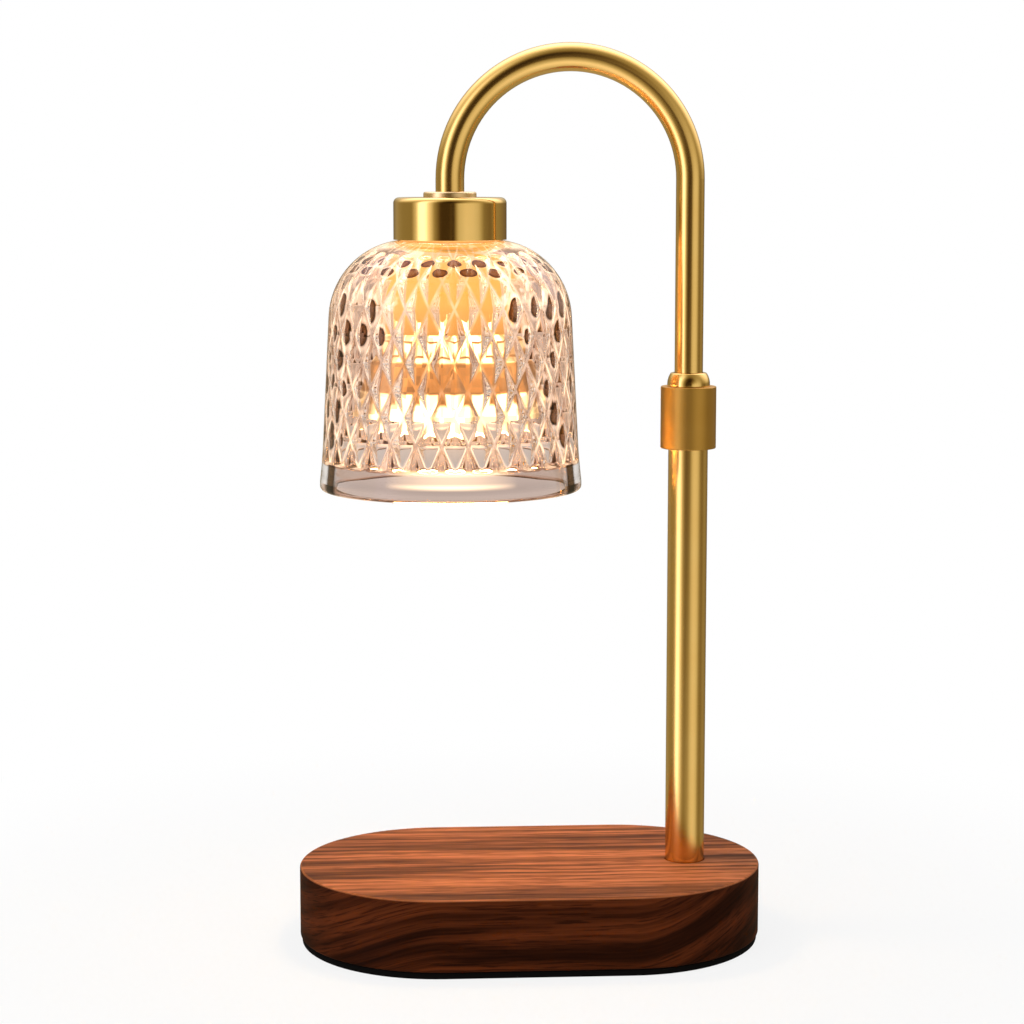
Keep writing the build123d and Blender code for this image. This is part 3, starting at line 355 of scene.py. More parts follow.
# What clear glass shows, by degrees from the far side of the room: the white backdrop, a dark gap
# beside it, a warm soft box at the side, and the dim near side.
ROOM = (
    (0, rgb(1.0, 0.99, 0.97)), (9, rgb(1.0, 0.95, 0.92)), (17, rgb(0.80, 0.57, 0.46)),
    (25, rgb(0.10, 0.045, 0.02)), (42, rgb(0.05, 0.018, 0.008)), (52, rgb(0.87, 0.61, 0.45)),
    (80, rgb(1.0, 0.86, 0.73)), (100, rgb(1.0, 0.86, 0.73)), (112, rgb(0.16, 0.07, 0.04)),
    (180, rgb(0.10, 0.042, 0.022)),
)  # fmt: skip
print("brightest soft box:", BRIGHTEST)

# %% World
WHITE = rgb(1, 1, 1)
world = bpy.data.worlds.new("studio")
bpy.context.scene.world = world
world.use_nodes = True
sky = world.node_tree
sky.nodes.clear()
across, along, up = split(sky, put(sky, "TexCoord").outputs["Generated"])
from_front = maths(sky, "ARCCOSINE", product(sky, along, -1.0))


def studio_profile(signed_by, levels):
    """Brightness along one great circle through the front, as a share of the brightest."""
    is_positive = maths(sky, "GREATER_THAN", signed_by, 0.0)
    sign = maths(sky, "SUBTRACT", product(sky, is_positive, 2.0), 1.0)
    angle = product(sky, sign, from_front)
    share = maths(sky, "DIVIDE", total(sky, angle, pi), 2 * pi)
    return ramp(sky, share, *[((a + 180) / 360, level / BRIGHTEST) for a, level in levels])


sideways = studio_profile(across, SIDEWAYS)
upwards = studio_profile(up, UPWARDS)
flat = product(sky, across, across)
steep = product(sky, up, up)
lean = maths(sky, "DIVIDE", steep, total(sky, flat, steep, TINY))
corner = product(sky, maths(sky, "GREATER_THAN", across, 0.0), maths(sky, "GREATER_THAN", up, 0.0))
lean = maths(sky, "POWER", lean, rest_of(sky, product(sky, corner, CORNER_REACH)))
level = blend_values(sky, lean, sideways, upwards)
gloss_colour = ramp(sky, level, *WARMTH)
gloss_strength = product(sky, level, BRIGHTEST)
from_back = maths(sky, "DIVIDE", maths(sky, "ARCCOSINE", along), pi)
room = ramp(sky, from_back, *[(angle / 180, colour) for angle, colour in ROOM])
path = put(sky, "LightPath").outputs


def background(colour, strength):
    return put(sky, "Background", {"Color": colour, "Strength": strength}).outputs[0]


def either(tree, share, first, second):
    return put(tree, "MixShader", {0: share, 1: first, 2: second}).outputs[0]


gloss = background(gloss_colour, gloss_strength)
answer = either(sky, path["Is Glossy Ray"], background(WHITE, PLAIN_LEVEL), gloss)
left_is_brighter = rest_of(sky, product(sky, across, LEFT_SHARE))
answer = either(sky, path["Is Transmission Ray"], answer, background(room, left_is_brighter))
answer = either(sky, path["Is Camera Ray"], answer, background(WHITE, 1.0))
put(sky, "OutputWorld", {"Surface": answer})
bpy.context.scene.cycles.max_bounces = 32
bpy.context.scene.cycles.transmission_bounces = 32
bpy.context.scene.cycles.glossy_bounces = 16
print("world nodes:", len(sky.nodes))

# %% [markdown]
# ## Floor and lamps
#
# The floor is a wide pale disc. To the eye it is almost the same white as the world, with a faint
# shadow that fades out with distance, so no horizon shows. Gloss doesn't see it, because the tubes
# mirror the studio that stands on it. Two large soft lamps give form to the wood.

# %% Floor
FLOOR_RADIUS = 6.0
SHADOW_START, SHADOW_REACH = 0.08, 0.34  # the shadow fades out between these distances
SHADOW_SHARE = 0.16
FAR_FLOOR = (0.3, 1.6)  # seen through glass, the floor turns white over this distance

floor_mesh = bpy.data.meshes.new("floor")
corners = [(FLOOR_RADIUS * cos(pi * k / 32), FLOOR_RADIUS * sin(pi * k / 32), 0) for k in range(64)]
floor_mesh.from_pydata(corners, [], [list(range(64))])
floor = bpy.data.objects.new("floor", floor_mesh)
bpy.context.scene.collection.objects.link(floor)
floor.visible_glossy = False

pale, tree, shader = finish("pale_floor", Base_Color=rgb(0.8, 0.8, 0.8), Roughness=0.9)
place = own_place(tree)
distance = vector_maths(tree, "LENGTH", place)["Value"]
fade = {"Value": distance, "From Min": SHADOW_START, "From Max": SHADOW_REACH}
fade.update({"To Min": SHADOW_SHARE, "To Max": 0.0})
near = put(tree, "MapRange", fade, interpolation_type="SMOOTHSTEP").outputs[0]
glow = put(tree, "Emission", {"Color": WHITE, "Strength": 1.0}).outputs[0]
rays = put(tree, "LightPath").outputs
seen = either(tree, near, glow, shader.outputs[0])
far = share_between(tree, distance, *FAR_FLOOR)
through = either(tree, far, shader.outputs[0], glow)
both = either(tree, rays["Is Transmission Ray"], shader.outputs[0], through)
both = either(tree, rays["Is Camera Ray"], both, seen)
tree.links.new(both, tree.nodes["Material Output"].inputs["Surface"])
wear(pale, floor)
print("floor radius", FLOOR_RADIUS)


# %% Soft lamps
def soft_lamp(name, place, aim, width, height, power, colour=(1, 1, 1)):
    """A large rectangular lamp that gloss doesn't see, because the world draws its bands."""
    data = bpy.data.lights.new(name, "AREA")
    data.shape, data.size, data.size_y = "RECTANGLE", width, height
    data.energy, data.color = power, colour
    made = bpy.data.objects.new(name, data)
    bpy.context.scene.collection.objects.link(made)
    made.location = place
    made.rotation_euler = (Vector(aim) - Vector(place)).to_track_quat("-Z", "Y").to_euler()
    made.visible_glossy = False
    made.visible_transmission = False
    return made


soft_lamp("left_box", (-0.95, -0.95, 0.75), (0, 0, 0.1), 0.7, 0.9, 6.5, (1.0, 0.98, 0.95))
soft_lamp("right_box", (1.1, -0.6, 0.6), (0, 0, 0.1), 0.5, 0.8, 0.6)

# %% [markdown]
# ## Walnut
#
# A board is sawn from a log, so its figure is a cut through year rings. Each ring fades from pale
# early wood to a dark, sharp line of late wood. Along the board the lines run nearly straight, and
# at the round ends they sweep down or up. Thin dark pores lie along the fibres, and slow noise makes
# some bands redder. The top is painted far paler than the sides: painted light on the top and
# painted shade on the sides. A pale line along the rounded top edge is a painted highlight. We
# build this in three steps: coordinates that follow the board, a grain group, and the finish.

# %% Coordinates of the board
STRAIGHT = span("base_block", 0)[1] - span("base_block", 1)[1]  # half the straight part
END_SWEEP = 0.8
SWEEP_START = 45 * MM  # the fibres bend softly over this length

board, into, out = group("board_coordinates", [("Side", FLOAT, 0.0)], [("Place", VECTOR)])
spot = own_place(board)
x, y, z = split(board, spot)
from_middle = maths(board, "ABSOLUTE", x)
beyond = maths(board, "MAXIMUM", maths(board, "SUBTRACT", from_middle, STRAIGHT), 0.0)
eased = maths(board, "DIVIDE", product(board, beyond, beyond), total(board, beyond, SWEEP_START))
swept = product(board, eased, maths(board, "SIGN", x), END_SWEEP)
height = maths(board, "SUBTRACT", z, swept)
on_top = join(board, x, y, product(board, z, 0.1))
along = total(board, x, product(board, y, 0.8))
on_side = join(board, along, height, product(board, y, 0.1))
choices = {0: into.outputs[0], 4: on_top, 5: on_side}
chosen = put(board, "Mix", choices, data_type="VECTOR").outputs[1]
board.links.new(chosen, out.inputs[0])
print("straight part of the base:", round(2 * STRAIGHT / MM, 1), "mm")

# %% Wood grain group
grain, into, out = group(
    "wood_grain",
    [
        ("Place", VECTOR, (0, 0, 0)),
        ("Rings per metre", FLOAT, 210.0),
        ("Waviness", FLOAT, 1.6),
    ],
    [(label, FLOAT) for label in ("Late wood", "Pores", "Patches", "Fibres", "Streaks")],
)
place = into.outputs["Place"]


def drawn_noise(tree, vector, stretch, detail=3.0):
    """Noise drawn out along the board, like fibres. stretch is its fineness along and across."""
    return noise(tree, vector_maths(tree, "MULTIPLY", vector, stretch)[0], 1.0, detail)


across = split(grain, place)[1]
wander = product(grain, drawn_noise(grain, place, (11, 45, 45), 2.0), into.outputs["Waviness"])
shiver = product(grain, drawn_noise(grain, place, (40, 260, 260), 2.0), 0.55)
rings = product(grain, across, into.outputs["Rings per metre"])
ring_share = maths(grain, "FRACT", total(grain, rings, wander, shiver))
ONE_RING = ((0.0, 0.30), (0.12, 0.0), (0.45, 0.12), (0.80, 0.62), (0.94, 1.0), (1.0, 0.35))
pore_noise = drawn_noise(grain, place, (75, 1500, 1500), 2.0)
found = {
    "Late wood": ramp(grain, ring_share, *ONE_RING),
    "Pores": ramp(grain, pore_noise, (0.36, 1.0), (0.46, 0.0)),
    "Patches": drawn_noise(grain, place, (10, 38, 38)),
    "Fibres": drawn_noise(grain, place, (26, 800, 800), 4.0),
    "Streaks": drawn_noise(grain, place, (7, 130, 130), 3.0),
}
give(grain, out, found)
print("wood grain group:", [s.name for s in grain.interface.items_tree])

# %% Walnut finish
# Painted light and shade: the top's colours are far paler than the sides', as if light falls on the
# top.
LIT_TOP_PALE, LIT_TOP_DARK = rgb(0.54, 0.190, 0.078), rgb(0.050, 0.0125, 0.005)
SHADED_SIDE_PALE, SHADED_SIDE_DARK = rgb(0.110, 0.0245, 0.0062), rgb(0.011, 0.0025, 0.0007)
# Colour of a painted highlight along the rounded top edge.
EDGE_HIGHLIGHT = rgb(0.60, 0.20, 0.072)
TOP_EDGE = 1.0 * MM
FIBRE_DEPTH, PORE_DEPTH, EDGE_HIGHLIGHT_SHARE = 0.75, 0.62, 0.28

walnut, tree, shader = finish("walnut", Specular_IOR_Level=0.03)
level = split(tree, own_place(tree))[2]
below = maths(tree, "DIVIDE", maths(tree, "SUBTRACT", WOOD_TOP, level), TOP_EDGE)
side = ramp(tree, below, (0.25, 0.0), (0.70, 1.0))
edge = ramp(tree, below, (0.0, 0.0), (0.10, 1.0), (0.35, 1.0), (0.65, 0.0))
wood = use(tree, grain, Place=use(tree, board, Side=side)[0])
pale = blend_colours(tree, side, LIT_TOP_PALE, SHADED_SIDE_PALE)
dark = blend_colours(tree, side, LIT_TOP_DARK, SHADED_SIDE_DARK)
lines = product(tree, wood["Late wood"], ramp(tree, wood["Patches"], (0.32, 0.1), (0.68, 1.0)))
ringed = blend_colours(tree, product(tree, lines, fitted(tree, side, 1.0, 0.5)), pale, dark)
fibres = ramp(tree, wood["Fibres"], (0.30, 0.36), (0.62, 1.0))
fibred = blend_colours(tree, FIBRE_DEPTH, ringed, fibres, "MULTIPLY")
streaks = ramp(tree, wood["Streaks"], (0.38, 0.24), (0.58, 1.0))
streaked = blend_colours(tree, 1.0, fibred, streaks, "MULTIPLY")
pored = blend_colours(tree, product(tree, wood["Pores"], PORE_DEPTH), streaked, dark)
# Painted highlight: the rounded top edge is mixed towards a pale warm colour.
edge_highlighted = blend_colours(tree, product(tree, edge, EDGE_HIGHLIGHT_SHARE), pored, EDGE_HIGHLIGHT)
feed(tree, shader, Base_Color=edge_highlighted, Roughness=fitted(tree, wood["Fibres"], 0.48, 0.68))
bump(tree, shader, maths(tree, "SUBTRACT", wood["Fibres"], wood["Pores"]), 0.25, 0.0001)
wear(walnut, "base_block")
print("walnut on", nodes["base_block"].name)

# %% [markdown]
# ## Brass
#
# The tubes are drawn and then brushed along their length. The cap, the collar and the rings are
# turned, so their marks run round them. One group draws each kind of mark. Both give a line mask
# that moves the roughness a little and makes a bump of a few microns. The metal itself is a plain
# metallic shader: the colour is brass, and the bands come from the studio.

# %% Groups for drawn and turned marks
drawn, into, out = group(
    "drawn_marks",
    [("Lines per metre", FLOAT, 5000.0)],
    [("Lines", FLOAT), ("Tarnish", FLOAT)],
)
spot = own_place(drawn)
x, y, z = split(drawn, spot)
over = maths(drawn, "MAXIMUM", maths(drawn, "SUBTRACT", z, ARCH_CENTRE), 0.0)
radius = length_of(drawn, maths(drawn, "SUBTRACT", x, ARCH_X), over)
fine = into.outputs["Lines per metre"]
down = product(drawn, z, 25.0)
lines_at = join(drawn, product(drawn, radius, fine), product(drawn, y, fine), down)
lines, tarnish = noise(drawn, lines_at, 1.0, 2.0), noise(drawn, spot, 70.0, 3.0)
give(drawn, out, {"Lines": lines, "Tarnish": tarnish})

turned, into, out = group(
    "turned_marks",
    [("Axis x", FLOAT, 0.0), ("Lines per metre", FLOAT, 6000.0)],
    [("Lines", FLOAT), ("Tarnish", FLOAT)],
)
spot = own_place(turned)
x, y, z = split(turned, spot)
off = maths(turned, "SUBTRACT", x, into.outputs["Axis x"])
radius = length_of(turned, off, y)
fine = into.outputs["Lines per metre"]
round_axis = product(turned, maths(turned, "ARCTAN2", y, off), 1.5)
lines_at = join(turned, product(turned, radius, fine), product(turned, z, fine), round_axis)
lines, tarnish = noise(turned, lines_at, 1.0, 2.0), noise(turned, spot, 90.0, 3.0)
give(turned, out, {"Lines": lines, "Tarnish": tarnish})
print("marks:", drawn.name, turned.name)

# %% Brass finishes
BRASS = rgb(0.85, 0.55, 0.175)
BRASS_WARM = rgb(0.81, 0.49, 0.135)


def brass(name, marks, low, high, depth, colours=(BRASS, BRASS_WARM), **values):
    """A brass finish: roughness moves from low to high with the marks, depth is their bump."""
    made, tree, shader = finish(name, Metallic=1.0)
    lines = use(tree, marks, **values)
    colour = blend_colours(tree, fitted(tree, lines["Tarnish"], -0.3, 1.0), *colours)
    feed(tree, shader, Base_Color=colour, Roughness=fitted(tree, lines["Lines"], low, high))
    bump(tree, shader, lines["Lines"], 0.3, depth)
    return made


wear(brass("brushed_post", drawn, 0.17, 0.27, 0.000006), "post_tube")
wear(brass("brushed_neck", drawn, 0.14, 0.24, 0.000004), "neck_tube")
wear(brass("brushed_cap", turned, 0.07, 0.15, 0.000003, Axis_x=SHADE_X), "head_cap")
SPUN = (rgb(0.90, 0.68, 0.38), rgb(0.88, 0.63, 0.31))
wear(brass("spun_brass", turned, 0.30, 0.40, 0.000002, SPUN, Axis_x=SHADE_X), "seat_ring")
wear(brass("polished_gland", turned, 0.06, 0.14, 0.000002, Axis_x=POST_X), "gland_ring")
SATIN = (rgb(0.54, 0.295, 0.060), rgb(0.48, 0.25, 0.042))
wear(brass("satin_brass", turned, 0.38, 0.50, 0.000006, SATIN, Axis_x=POST_X), "lock_collar")
hidden_brass = brass("turned_brass", turned, 0.18, 0.32, 0.00001, Axis_x=POST_X)
wear(hidden_brass, "post_foot", "post_nut", "post_head", "cap_nut")
print("brass finishes: 7")

# %% [markdown]
# ## Rubber, nylon, steel and the wiring
#
# Small plain materials still need a surface. Rubber and nylon get a fine skin of noise that moves
# their roughness. Zinc and steel get soft cloudy patches.


# %% Plain finishes with a fine skin
def skinned(name, colour, shade, roughness, scale=1500.0, depth=0.00002, **values):
    """Two close colours mixed by fine noise, which also drives roughness and a small bump."""
    made, tree, shader = finish(name, **values)
    skin = noise(tree, own_place(tree), scale, 3.0)
    mixed = blend_colours(tree, skin, colour, shade)
    feed(tree, shader, Base_Color=mixed, Roughness=fitted(tree, skin, *roughness))
    bump(tree, shader, skin, 0.4, depth)
    return made


FOAM = (rgb(0.0020, 0.0019, 0.0018), rgb(0.006, 0.0055, 0.005))
foam = skinned("foam_pad", *FOAM, (0.75, 0.95), 2600.0, 0.00008)
shader_of(foam).inputs["Specular IOR Level"].default_value = 0.04
rubber = skinned("black_rubber", rgb(0.008, 0.008, 0.009), rgb(0.02, 0.02, 0.02), (0.45, 0.65))
NYLON = (rgb(0.72, 0.70, 0.66), rgb(0.80, 0.79, 0.75))
nylon = skinned("white_nylon", *NYLON, (0.35, 0.5))
STEEL = (rgb(0.42, 0.43, 0.45), rgb(0.55, 0.56, 0.58))
steel = skinned("plate_steel", *STEEL, (0.3, 0.45), 60.0, Metallic=1.0)
ZINC = (rgb(0.55, 0.56, 0.58), rgb(0.70, 0.70, 0.70))
zinc = skinned("zinc_screw", *ZINC, (0.22, 0.38), 300.0, Metallic=1.0)
sleeve = skinned("wire_sleeve", rgb(0.70, 0.68, 0.62), rgb(0.78, 0.76, 0.70), (0.4, 0.55))
ceramic = skinned("white_ceramic", rgb(0.74, 0.72, 0.68), rgb(0.84, 0.82, 0.78), (0.3, 0.5), 900.0)
BRONZE = (rgb(0.62, 0.36, 0.16), rgb(0.70, 0.44, 0.22))
bronze = skinned("bronze_spring", *BRONZE, (0.2, 0.35), 400.0, Metallic=1.0)
NICKEL = (rgb(0.60, 0.58, 0.55), rgb(0.72, 0.70, 0.66))
nickel = skinned("pin_nickel", *NICKEL, (0.15, 0.3), 500.0, Metallic=1.0)

wear(rubber, "cord_grommet")
wear(nylon, "terminal_block", "grip_collet", "neck_bush")
wear(steel, "base_plate")
wear(zinc, "plate_screws", "terminal_screws", "block_screw", "holder_screws")
wear(zinc, "post_washer", "cap_washer")
wear(sleeve, "neck_wires")
wear(ceramic, "holder_top")
wear(bronze, "holder_contacts")
wear(nickel, "bulb_pins")
print("plain finishes: 9")

# %% [markdown]
# ## The foam pad and the slack wires
#
# Under the wood lies a sheet of black foam. Pressed between table and wood, its edge bulges a
# little, which a plain cut sheet doesn't show. We loft it from rings with round ends, each ring a
# little further in or out. The two wires inside the post are soft as well: when the neck slides
# down, they bunch up. Here they are a plain copy of their tubes.


# %% A piece in its place
def piece(name, mesh, body, slot, *replaced):
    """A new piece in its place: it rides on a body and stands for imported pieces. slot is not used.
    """
    made = bpy.data.objects.new(name, mesh)
    bpy.context.scene.collection.objects.link(made)
    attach(made, body)
    if replaced:
        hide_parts(*replaced)
    return made


# %% The foam pad
PAD_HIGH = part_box("base_pad")[1]
PAD_RADIUS = PAD_HIGH.y
PAD_STRAIGHT = PAD_HIGH.x - PAD_RADIUS
PAD_TOP = PAD_HIGH.z
END_STEPS = 48
# How far each ring lies inside the outline, and its share of the pad's height.
PAD_RINGS = (
    (0.90, 0.00), (0.45, 0.05), (0.15, 0.14), (0.03, 0.28), (0.00, 0.45), (0.05, 0.65),
    (0.18, 0.82), (0.30, 0.92), (0.50, 1.00),
)  # fmt: skip


def round_ended(inset, height):
    """A ring of points with straight sides and half round ends."""
    turns = [pi * k / END_STEPS - pi / 2 for k in range(END_STEPS + 1)]
    radius = PAD_RADIUS - inset
    right = [(PAD_STRAIGHT + radius * cos(a), radius * sin(a), height) for a in turns]
    return right + [(-x, -y, z) for x, y, z in right]


pad_points = [p for inset, share in PAD_RINGS for p in round_ended(inset * MM, PAD_TOP * share)]
around = 2 * (END_STEPS + 1)
pad_faces = [list(range(around))[::-1], [len(pad_points) - around + k for k in range(around)]]
for ring in range(len(PAD_RINGS) - 1):
    for k in range(around):
        a, b = ring * around + k, ring * around + (k + 1) % around
        pad_faces.append((a, b, b + around, a + around))
pad_mesh = bpy.data.meshes.new("foam_pad")
pad_mesh.from_pydata(pad_points, [], pad_faces)
for face in pad_mesh.polygons:
    face.use_smooth = face.index > 1
pad = piece("foam_pad", pad_mesh, "base", "foam_pad", "base_pad")
wear(foam, pad)
print("pad:", [round(v / MM, 2) for v in pad.dimensions], "faces:", len(pad_mesh.polygons))

# %% The slack wires in the post
slack = piece("slack_wires", nodes["post_wires"].data.copy(), "base", "wire_sleeve", "post_wires")
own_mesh(slack)
wear(sleeve, slack)

# %% [markdown]
# ## The glass shade
#
# The shade is pressed glass: smooth outside, with rows of diamonds inside. Each diamond is a
# shallow dimple with soft sides that meet its neighbours in a sharp ridge, so each one is a small
# lens. A flat cut would sparkle, but it wouldn't bend the light the way a pressed wall does. We
# build one closed skin from rings of points. Most rings are plain circles. The rings of the inner
# wall move in and out with the diamonds, and the small faces there are split along the ridges, so
# that each ridge is a real edge of the mesh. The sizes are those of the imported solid, with a
# slightly deeper relief.

# %% Sizes of the shade
RIM_RADIUS = half_span("glass_shade", 0)
SHADE_HEIGHT = CROWN - RIM
RIM_STRAIGHT = 3.0 * MM
FLARE_TOP = 16.8 * MM
TAPER_DEGREES = 3.0
TAPER = radians(TAPER_DEGREES)
DOME_RADIUS = 28.0 * MM
FLAT_RADIUS = 14.5 * MM
WALL = 4.2 * MM
TOP_WALL = 4.0 * MM
HOLE_RADIUS = 15.0 * MM
INNER_FLAT = 19.0 * MM
RIM_ROUND = 1.5 * MM
LIP_ROUND = 1.0 * MM
HOLE_ROUND = 0.4 * MM
BAND = 10.4 * MM
PATTERN_TOP = 79.8 * MM
RELIEF = 2.2 * MM
COLUMNS = 28
ROWS = 8
FINE = 6  # small steps in each half column and each row
AROUND = 2 * COLUMNS * FINE

dome_z = SHADE_HEIGHT - DOME_RADIUS
shoulder = (FLAT_RADIUS + DOME_RADIUS * cos(TAPER), dome_z + DOME_RADIUS * sin(TAPER))
flare_radius = shoulder[0] + (shoulder[1] - FLARE_TOP) * tan(TAPER)
inner_dome = shoulder[0] - WALL - INNER_FLAT
inner_dome_z = SHADE_HEIGHT - TOP_WALL - inner_dome
print("shoulder at", [round(v / MM, 2) for v in shoulder], "points round:", AROUND)


# %% Profile of the glass
def outer_radius(height):
    """Radius of the smooth outside at a height above the rim, below the shoulder."""
    if height >= FLARE_TOP:
        return shoulder[0] + (shoulder[1] - height) * tan(TAPER)
    share = max(0.0, (FLARE_TOP - height) / (FLARE_TOP - RIM_STRAIGHT))
    straight = (FLARE_TOP - height) * tan(TAPER)
    spare = RIM_RADIUS - flare_radius - (FLARE_TOP - RIM_STRAIGHT) * tan(TAPER)
    return min(flare_radius + straight + spare * share**2, RIM_RADIUS)


def inner_radius(height):
    """Radius of the inner wall at the bottom of the dimples."""
    if height > inner_dome_z:
        return INNER_FLAT + sqrt(inner_dome**2 - (height - inner_dome_z) ** 2)
    return outer_radius(height) - WALL


def arc(centre, radius, start, end, steps):
    """Points of a round, given as radius and height, between two angles in degrees."""
    angles = [radians(start + (end - start) * k / steps) for k in range(steps + 1)]
    return [(centre[0] + radius * cos(a), centre[1] + radius * sin(a)) for a in angles]


def even_heights(low, high, parts):
    """Heights that split the inner wall into parts of equal length along its curve."""
    steps = 600
    heights = [low + (high - low) * k / steps for k in range(steps + 1)]
    lengths = [0.0]
    for below, above in zip(heights, heights[1:]):
        inwards = inner_radius(above) - inner_radius(below)
        lengths.append(lengths[-1] + sqrt((above - below) ** 2 + inwards**2))
    marks = [lengths[-1] * k / parts for k in range(parts + 1)]
    return [heights[min(range(steps + 1), key=lambda k: abs(lengths[k] - mark))] for mark in marks]


# %% The pressed pattern
FACET = 0.7  # 1 for flat facets, 0 for soft bowls
BAND_SHARES = (0.3, 0.6, 0.85, 0.96)  # rings on the plain band inside the rim
BOW_OUT, BOW_UP = 0.4 * MM, 0.5 * MM  # the arch from the pattern to the ceiling
PER_RADIAN = 57.3  # degrees


def relief(row, column):
    """How high the wall stands: 1 on a ridge, falling to 0 in the middle of a diamond."""
    falling = abs((row + column) % 2.0 - 1.0)
    rising = abs((row - column) % 2.0 - 1.0)
    facet = max(falling, rising)
    bowl = 1.0 - (1.0 - falling**2) * (1.0 - rising**2)
    return FACET * facet + (1.0 - FACET) * bowl


def rings_of_shade():
    """Rings of (radius, height), from the hole down the outside and back up the inside."""
    rings = []

    def circles(profile):
        rings.extend([(radius, height)] * AROUND for radius, height in profile)

    hole_edge = HOLE_RADIUS + HOLE_ROUND
    start = sqrt(DOME_RADIUS**2 - (hole_edge - FLAT_RADIUS) ** 2) + dome_z
    first = 90 - PER_RADIAN * (hole_edge - FLAT_RADIUS) / DOME_RADIUS
    circles(arc((hole_edge, start - HOLE_ROUND), HOLE_ROUND, 180, 95, 3))
    circles(arc((FLAT_RADIUS, dome_z), DOME_RADIUS, first, TAPER_DEGREES, 26))
    for high, low in ((shoulder[1], FLARE_TOP), (FLARE_TOP, RIM_STRAIGHT)):
        heights = [high + (low - high) * k / 8 for k in range(1, 9)]
        circles((outer_radius(height), height) for height in heights)
    circles(arc((RIM_RADIUS - RIM_ROUND, RIM_ROUND), RIM_ROUND, 0, -90, 6))
    circles(arc((RIM_RADIUS - WALL + LIP_ROUND, LIP_ROUND), LIP_ROUND, -90, -180, 5))
    heights = [LIP_ROUND + (BAND - LIP_ROUND) * share for share in BAND_SHARES]
    circles((inner_radius(height), height) for height in heights)
    pattern_start = len(rings)
    for step, height in enumerate(even_heights(BAND, PATTERN_TOP, ROWS * FINE)):
        wall, row = inner_radius(height), step / FINE
        depths = [RELIEF * relief(row, place / FINE) for place in range(AROUND)]
        rings.append([(wall - depth, height) for depth in depths])
    crown = inner_radius(PATTERN_TOP) - RELIEF
    ceiling = SHADE_HEIGHT - TOP_WALL
    for share in (0.08, 0.3, 0.55, 0.8, 1.0):
        bow = 4 * share * (1 - share)
        radius = crown + (INNER_FLAT - crown) * share + BOW_OUT * bow
        circles([(radius, PATTERN_TOP + (ceiling - PATTERN_TOP) * share + BOW_UP * bow)])
    circles(arc((hole_edge, ceiling + HOLE_ROUND), HOLE_ROUND, -90, -180, 3))
    return rings, pattern_start


# %% Marks on the mesh, for the glass finish
def mark_shade(mesh, start):
    """Mark the outside, and count the rows of the pattern up the inner wall and on to the crown."""
    inside_from = start - len(BAND_SHARES) - 1
    for name in ("outer", "row"):
        mesh.attributes.new(name, "FLOAT", "POINT")
    outer, row = mesh.attributes["outer"].data, mesh.attributes["row"].data
    for point in range(len(mesh.vertices)):
        ring = point // AROUND
        outer[point].value = float(ring < inside_from)
        row[point].value = (ring - start) / FINE


# %% Mesh of the shade
def shade_mesh():
    rings, pattern_start = rings_of_shade()
    points = []
    for ring in rings:
        for place, (radius, height) in enumerate(ring):
            angle = 2 * pi * place / AROUND
            points.append((SHADE_X + radius * cos(angle), radius * sin(angle), RIM + height))
    faces = []
    for row in range(len(rings)):
        above = (row + 1) % len(rings)
        in_pattern = pattern_start <= row < pattern_start + ROWS * FINE
        for place in range(AROUND):
            side = (place + 1) % AROUND
            a, b = row * AROUND + place, row * AROUND + side
            c, d = above * AROUND + side, above * AROUND + place
            if not in_pattern:
                faces.append((a, d, c, b))
            elif ((row - pattern_start) // FINE + place // FINE) % 2 == 0:
                faces += [(a, c, b), (a, d, c)]
            else:
                faces += [(a, d, b), (b, d, c)]
    made = bpy.data.meshes.new("pressed_glass_shade")
    made.from_pydata(points, [], faces)
    made.shade_smooth()
    made.validate()
    mark_shade(made, pattern_start)
    return made


shade = piece("pressed_glass_shade", shade_mesh(), "neck", "shade_glass", "glass_shade")
shade_box = [round(v / MM, 2) for v in shade.dimensions]
print("shade faces:", len(shade.data.polygons), "box:", shade_box)

# %% [markdown]
# ## Clear glass
#
# Glass is one Principled shader with full transmission. Cycles treats its shadow as solid, because
# light rays that bend through it can't be aimed at a lamp. The usual cure is to let shadow rays
# pass straight through. The glass has a faint rose tint, which gathers where the wall is thick.


# %% Glass finishes
def glass(name, tint, roughness=0.0, glow=None, glow_strength=0.0):
    """Clear glass that may glow. Shadow rays pass straight through it."""
    made, tree, shader = finish(name, Base_Color=tint, Roughness=roughness, IOR=1.5)
    shader.inputs["Transmission Weight"].default_value = 1.0
    if glow:
        glowing(made, glow, glow_strength)
    through = put(tree, "BsdfTransparent", {"Color": tint}).outputs[0]
    is_shadow = put(tree, "LightPath").outputs["Is Shadow Ray"]
    mixed = either(tree, is_shadow, shader.outputs[0], through)
    tree.links.new(mixed, tree.nodes["Material Output"].inputs["Surface"])
    return made


# %% [markdown]
# ## What the pressed wall shows
#
# Each dimple of the wall is a lens that turns its line of sight far away from the lamp. Where a
# lens finds a dark part of the room, it shows a small dark oval. Where it finds a soft box or the
# bulb, it sparkles. Real rays do much of this, but they can't be steered, so the strongest ovals
# and sparkles are drawn in the cells of the pattern. The mesh carries the number of the row, the
# angle gives the column, and a group turns both into staggered cells. Each cell has a ridge round
# it, two distances from its middle and two numbers of its own, which choose how large and how
# bright its mark is. A dark specular tint keeps the gloss of the smooth outside from laying a grey
# veil over them.

